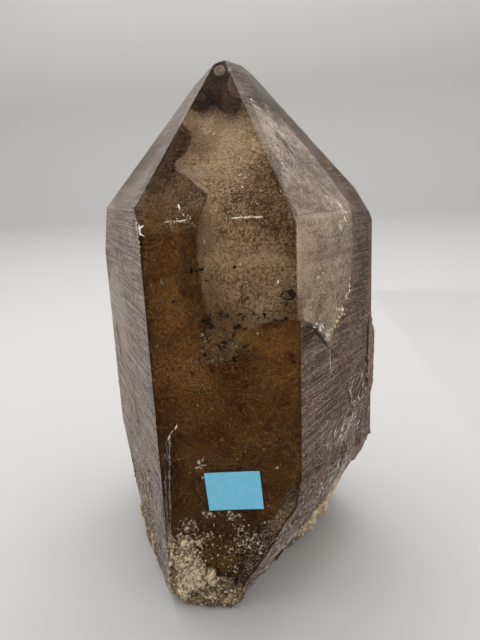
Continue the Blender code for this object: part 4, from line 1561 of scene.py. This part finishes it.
def makeCrust(name, crust, groups, tree):
    # a lumpy, granular patch whose rim sinks into the quartz
    c = crustSettings
    seed = crust["seed"]
    spans = zip(crust["low"], crust["high"])
    s, z = np.meshgrid(*(np.arange(low, high, c["cell"]) for low, high in spans))
    body = patches(s, z, crust["lumps"], seed)
    grit = layeredNoise(s / 0.95, z / 0.95, 0, seed + 2, 3, 0.7)
    uneven = 1 + 0.45 * layeredNoise(s / 3.4, z / 3.4, 0, seed + 1, 3)
    height = body * uneven + crust["grit"] * grit * rise(body, 0.0, 0.8) - 0.5
    quads = gridQuads(s.shape).reshape(-1, 4)
    quads = quads[(height.ravel()[quads] > 0).any(1)]
    used, quads = np.unique(quads, return_inverse=True)
    s, z = s.ravel()[used], z.ravel()[used]
    height, grit = height.ravel()[used], grit.ravel()[used]
    points = onSkin(tree, crust["side"], s, z, np.maximum(height, -c["sunk"]))
    patch = meshObject(name, points, quads.reshape(-1, 4))
    # the tone is partly painted shade and light: low pits of the grit and low places of the crust come out
    # darker, high grit and thick lumps paler
    tone = 0.42 + 0.55 * grit + 0.10 * height + patches(s, z, crust["tones"], seed + 3)
    addAttribute(patch.data, "tone", np.clip(tone, 0, 1))
    material, nodes, shader = newMaterial(name, Roughness=0.85, Specular_IOR_Level=0.25)
    grain = placeGroup(nodes, groups["grain"], Size=0.6, Seed=seed / 1000.0)
    stain = placeGroup(nodes, groups["mottling"], Size=4.0, Low=0.3, High=0.7, Seed=seed + 1.0)
    level = mathNode(nodes, "MULTIPLY_ADD", grain, 0.62, attributeValue(nodes, "tone"))
    level = mathNode(nodes, "MULTIPLY_ADD", stain, 0.3, level)
    level = mathNode(nodes, "SUBTRACT", level, 0.5, clamp=True)
    lower = mathNode(nodes, "MULTIPLY", level, 2.0, clamp=True)
    upper = mathNode(nodes, "MULTIPLY_ADD", level, 2.0, -1.0, clamp=True)
    darker = mixColours(nodes, lower, c["dim"], c["middle"])
    nodes.links.new(mixColours(nodes, upper, darker, c["pale"]), shader.inputs["Base Color"])
    addBump(nodes, shader, grain, 0.6, 0.2)
    finishPiece(patch, material, "smoky_quartz")


# Fine lines on the surface: the side, width and points of each, and how far all of a kind stand
# proud of the quartz
surfaceLines = {
    "groundEdge": {
        "colour": (0.12, 0.09, 0.07, 1.0), "roughness": 0.35, "proud": 0.06,
        "lines": (
            ("front", 0.30, ((-22.2, 86), (-22.9, 76), (-23.8, 62))),
            ("front", 0.26, ((-23.9, 61), (-24.5, 50), (-25.1, 40))),
            ("front", 0.30, ((-25.1, 38), (-25.8, 26), (-26.4, 12))),
            ("left", 0.30, ((3.0, 74), (5.0, 56), (6.0, 44))),
        ),
    },
    "paleThreadsAndLitEdges": {
        "colour": (0.70, 0.62, 0.52, 1.0), "roughness": 0.35, "proud": 0.09,
        "lines": (
            ("front", 0.9, ((-18.0, 91.4), (-19.4, 88.9))),
            ("front", 0.8, ((-21.4, 86.6), (-22.9, 83.2))),
            ("front", 0.3, ((-19.4, 89.0), (-21.4, 86.8))),
            ("right", 0.5, ((-5.2, 118.5), (-4.6, 113), (-4.6, 109), (-3.4, 104.5))),
            ("right", 0.5, ((17.2, 91.5), (17.9, 86), (18.4, 80), (20.5, 77))),
            # the strokes on the right flank are painted highlights along its thin lower edges, lit from
            # behind
            ("rightFlank", 1.3, ((-36, 3.4), (-29, 3.0), (-20, 4.4), (-13.6, 8.4), (-2.2, 10), (4.2, 14))),
            ("rightFlank", 0.9, ((-34, 12), (-26, 9), (-18, 12), (-8, 17))),
            ("rightFlank", 1.2, ((22, 24), (28, 32), (33, 39), (34, 48))),
        ),
    },
    # bright strokes on the surface: painted glints along the shoulder, the lens and the crown, and the white
    # chip at the left corner
    "chipAndGlintStrokes": {
        "colour": (0.86, 0.82, 0.74, 1.0), "roughness": 0.3, "proud": 0.09,
        "lines": (
            ("front", 0.55, ((8.2, 174.1), (11.6, 174.2))),
            ("front", 0.75, ((12.8, 174.1), (15.0, 174.2))),
            ("front", 0.5, ((16.6, 174.2), (20.0, 174.1))),
            ("front", 0.45, ((-17.0, 173.4), (-14.4, 173.8))),
            ("front", 0.5, ((-11.6, 173.6), (-8.2, 174.0))),
            ("front", 0.55, ((-11.0, 177.6), (-12.2, 179.8))),
            ("front", 1.1, ((-26.4, 173.0), (-26.2, 168.8))),
            ("front", 0.8, ((-26.6, 171.4), (-24.6, 172.6))),
            ("front", 0.6, ((-26.4, 170.0), (-24.8, 168.4))),
            ("right", 1.3, ((7.8, 178.0), (9.8, 174.8))),
            ("right", 1.5, ((6.6, 172.4), (9.4, 169.0))),
            ("right", 1.0, ((2.6, 169.0), (5.4, 165.4))),
            ("right", 0.7, ((9.6, 173.6), (11.4, 171.0))),
            ("right", 0.6, ((-13.6, 129.6), (-10.4, 127.2))),
            ("right", 0.7, ((-9.4, 125.4), (-7.0, 122.8))),
            ("right", 0.5, ((12.6, 136.4), (14.8, 141.0))),
            ("right", 0.6, ((-4.6, 218.6), (0.6, 216.4))),
            ("right", 0.5, ((-13.4, 197.0), (-14.6, 190.0))),
            ("right", 0.45, ((-9.6, 203.0), (-11.0, 197.6))),
            ("right", 0.5, ((-9.0, 124.6), (-6.4, 121.0))),
        ),
    },
    "darkCracks": {
        "colour": (0.022, 0.014, 0.010, 1.0), "roughness": 0.9, "proud": 0.36,
        "lines": (
            ("left", 1.7, ((-41.0, 122.5), (-40.0, 115), (-37.6, 108), (-37.2, 100), (-39.4, 94))),
            ("left", 1.5, ((-10.6, 97), (-9.6, 92), (-9.0, 84), (-7.2, 78), (-3.6, 71.5), (-2.6, 66))),
            ("left", 0.9, ((-14.4, 70), (-12.6, 62), (-9.6, 56), (-8.8, 50))),
            ("right", 2.4, ((38.6, 122), (37.4, 112), (37.2, 98), (37.8, 88), (40.6, 77))),
            ("right", 0.6, ((15.0, 89), (16.4, 84), (17.0, 78), (19.0, 74))),
            ("right", 0.35, ((4, 172.0), (18, 172.2), (37, 172.4))),
            ("right", 1.2, ((-28, 132.8), (-20, 129.0), (-12, 122.6), (-6, 116.6))),
            ("front", 0.7, ((-23.6, 86), (-24.4, 70), (-25.4, 46))),
        ),
    },
}

# Short strands of broken, fibrous quartz: zones as side, middle (across, height), half width, half
# height, heading in degrees and count
strandSets = {
    "silverStrands": {
        "colour": (0.62, 0.56, 0.50, 1.0), "roughness": 0.35, "proud": 0.10, "seed": 601,
        "length": (1.2, 5.5), "width": (0.22, 0.8),
        "zones": (
            ("rightFlank", (12, 42), 22, 24, 76, 460), ("rightFlank", (-8, 12), 22, 9, 60, 160),
            ("rightFlank", (26, 36), 5, 16, 80, 180), ("rightFlank", (-22, 36), 6, 12, 76, 60),
            ("right", (14, 72), 20, 10, 40, 180), ("left", (-8, 34), 14, 26, 80, 40),
            ("right", (1, 205), 7, 10, 300, 24), ("right", (36, 82), 5, 12, 60, 30),
        ),
    },
    "darkStrands": {
        "colour": (0.030, 0.020, 0.014, 1.0), "roughness": 0.8, "proud": 0.08, "seed": 602,
        "length": (3.0, 10.0), "width": (0.2, 0.6),
        "zones": (
            ("rightFlank", (10, 42), 24, 24, 77, 300), ("right", (6, 84), 26, 14, 26, 60),
            ("right", (1, 203), 6, 9, 285, 24), ("left", (-8, 36), 14, 26, 80, 40),
            ("right", (10, 214), 5, 6, 305, 14), ("right", (6, 92), 26, 9, 5, 60),
        ),
    },
}


def strandLines(group):
    # seeded lines for makeSurfaceLines
    rng = np.random.default_rng(group["seed"])
    lines = []
    for side, middle, halfWidth, halfHeight, heading, count in group["zones"]:
        for _ in range(count):
            s, z = middle + rng.normal(size=2) * (0.5 * halfWidth, 0.5 * halfHeight)
            angle = math.radians(heading + 7.0 * rng.normal())
            length = between(group["length"], rng.random() ** 2)
            width = between(group["width"], rng.random() ** 2)
            ds, dz = 0.5 * length * math.cos(angle), 0.5 * length * math.sin(angle)
            z = max(z, abs(dz) + 0.8)     # clear of the floor
            lines.append((side, width, ((s - ds, z - dz), (s + ds, z + dz))))
    return lines


def makeSurfaceLines(name, group, tree):
    # narrow tapered ribbons that follow the surface
    verts, faces = [], []
    for number, (side, width, points) in enumerate(group.get("lines") or strandLines(group)):
        points = np.array(points, float)
        lengths = np.hypot(*np.diff(points, axis=0).T)
        steps = np.append(0.0, np.cumsum(lengths))
        along = np.linspace(0.0, steps[-1], int(steps[-1] / 0.5) + 2)
        s, z = np.interp(along, steps, points[:, 0]), np.interp(along, steps, points[:, 1])
        s = s + 0.35 * layeredNoise(along / 3.0, 0.0, number, 501, 3, 0.6)
        z = z + 0.12 * layeredNoise(along / 3.0, 5.0, number, 502, 3, 0.6)
        share = along / steps[-1]
        half = 0.5 * width * np.sin(np.pi * np.clip(share, 0.02, 0.98)) ** 0.5
        half = half * (0.75 + 0.45 * layeredNoise(along / 1.6, 9.0, number, 503, 3, 0.6))
        ds, dz = np.gradient(s), np.gradient(z)
        size = np.hypot(ds, dz)
        across, up = -dz / size * half, ds / size * half
        first = onSkin(tree, side, s + across, z + up, group["proud"])
        second = onSkin(tree, side, s - across, z - up, group["proud"])
        starts = len(verts) + 2 * np.arange(len(s) - 1)[:, None]
        verts.extend(np.stack((first, second), 1).reshape(-1, 3))
        faces.extend(starts + (0, 1, 3, 2))
    item = meshObject(name, verts, faces)
    material, _, _ = newMaterial(name, Base_Color=group["colour"], Roughness=group["roughness"])
    finishPiece(item, material, "smoky_quartz")


# Shell-like chip at the very tip
chipSettings = {
    "centre": (0.2, 233.4), "radius": 2.5, "ripple": 0.95, "height": 0.2, "proud": 0.12, "sunk": 0.15,
    "dim": (0.05, 0.03, 0.02, 1.0), "pale": (0.21, 0.16, 0.11, 1.0),
}


def makeTipChip(groups):
    c = chipSettings
    rings, spokes = 14, 30
    r = np.linspace(0.0, 1.0, rings)[1:, None] * c["radius"]
    turn = np.linspace(0, 2 * math.pi, spokes, endpoint=False)[None]
    s, z = c["centre"][0] + r * np.cos(turn), c["centre"][1] + 1.05 * r * np.sin(turn)
    edge = rise(c["radius"] - r, 0.0, 0.5)
    ripples = c["proud"] + c["height"] * np.cos(2 * math.pi * r / c["ripple"])
    height = ripples * edge - c["sunk"] * (1 - edge)
    points = under("front", s, z, -height).reshape(-1, 3)
    middle = under("front", *c["centre"], -(c["proud"] + c["height"]))
    index = np.arange(len(points)).reshape(rings - 1, spokes)
    after = np.roll(index, -1, 1)
    quads = np.stack((index[:-1], index[1:], after[1:], after[:-1]), -1).reshape(-1, 4).tolist()
    fan = [(len(points), i, j) for i, j in zip(index[0], after[0])]
    chip = meshObject("tipChip", np.vstack((points, middle)), quads + fan)
    material, tree, shader = newMaterial("chippedQuartz", Roughness=0.3, Specular_IOR_Level=0.6)
    grain = placeGroup(tree, groups["mottling"], Size=0.9, Low=0.4, High=0.6, Seed=41.0)
    tree.links.new(mixColours(tree, grain, c["dim"], c["pale"]), shader.inputs["Base Color"])
    finishPiece(chip, material, "smoky_quartz")


# Blank paper label
labelSettings = {
    "width": 23.7, "height": 18.2, "centre": (4.4, 60.7), "turn": 4.3,
    "proud": 0.32,           # the paper's back above the quartz
    "thickness": 0.14,
    "curl": 0.25,            # lift of its corners
    "blue": (0.15, 0.50, 0.70, 1.0), "paleBlue": (0.19, 0.58, 0.79, 1.0),
}


def makeLabel(groups):
    paper = labelSettings
    u, v = np.meshgrid(np.linspace(-0.5, 0.5, 49), np.linspace(-0.5, 0.5, 37))
    c, q = math.cos(math.radians(paper["turn"])), math.sin(math.radians(paper["turn"]))
    wobble = 0.05 * layeredNoise(u * 3, v * 3, 0, 61, 2)
    corner = np.abs(u * 2) ** 4 * np.abs(v * 2) ** 3 * (0.6 + 0.4 * u)
    x = paper["centre"][0] + u * paper["width"] * c - v * paper["height"] * q
    z = paper["centre"][1] + u * paper["width"] * q + v * paper["height"] * c
    back = under("front", x, z, -(paper["proud"] + paper["curl"] * corner + wobble))
    face = back - np.array((0.0, paper["thickness"], 0.0))
    index = np.arange(u.size).reshape(u.shape)
    quads = gridQuads(u.shape).reshape(-1, 4)
    rim = np.concatenate((index[0], index[1:, -1], index[-1, -2::-1], index[-2:0:-1, 0]))
    after = np.roll(rim, -1)
    sides = np.stack((rim, rim + u.size, after + u.size, after), 1)[:, ::-1]
    faces = np.concatenate((quads + u.size, quads[:, ::-1], sides))
    label = meshObject("paperLabel", np.concatenate((back.reshape(-1, 3), face.reshape(-1, 3))), faces)
    label.data.set_sharp_from_angle(angle=math.radians(40))
    material, tree, shader = newMaterial("bluePaper", Roughness=0.62, Specular_IOR_Level=0.4)
    pulp = placeGroup(tree, groups["mottling"], Size=2.2, Low=0.2, High=0.8, Seed=31.0)
    fibre = placeGroup(tree, groups["mottling"], Size=0.35, Low=0.3, High=0.7, Seed=32.0)
    tree.links.new(mixColours(tree, pulp, paper["blue"], paper["paleBlue"]), shader.inputs["Base Color"])
    addBump(tree, shader, fibre, 0.5, 0.04)
    finishPiece(label, material, "label_paper", "paper_label")


print("camera, floor and light")
makeCamera(viewSettings)
makeBackdrop(studioSettings)
makeCards(studioSettings)
makeLights(studioSettings)
bpy.context.scene.view_settings.view_transform = "Standard"
bpy.context.scene.cycles.transparent_max_bounces = 24
groups = {
    "striae": makeStriaeGroup(), "mottling": makeMottleGroup(), "grain": makeGrainGroup(),
    "fibres": makeFibreGroup(),
}

print("quartz")
skin = makeSkin()
fusePlates(skin)
markSkin(skin)
surface = skinTree(skin)
skin.data.set_sharp_from_angle(angle=math.radians(28))
finishPiece(skin, makeQuartz(groups), "smoky_quartz", "quartz_crystal")
makeFilm(skin, groups)

print("veils, flakes and specks")
makeVeils(groups)
makeGrainSets(surface)
makeSpeckChains()
makeRing()

print("crust, cracks and chips")
for crustName, crust in crusts.items():
    makeCrust(crustName, crust, groups, surface)
for lineName, group in {**surfaceLines, **strandSets}.items():
    makeSurfaceLines(lineName, group, surface)
makeTipChip(groups)

print("label")
makeLabel(groups)
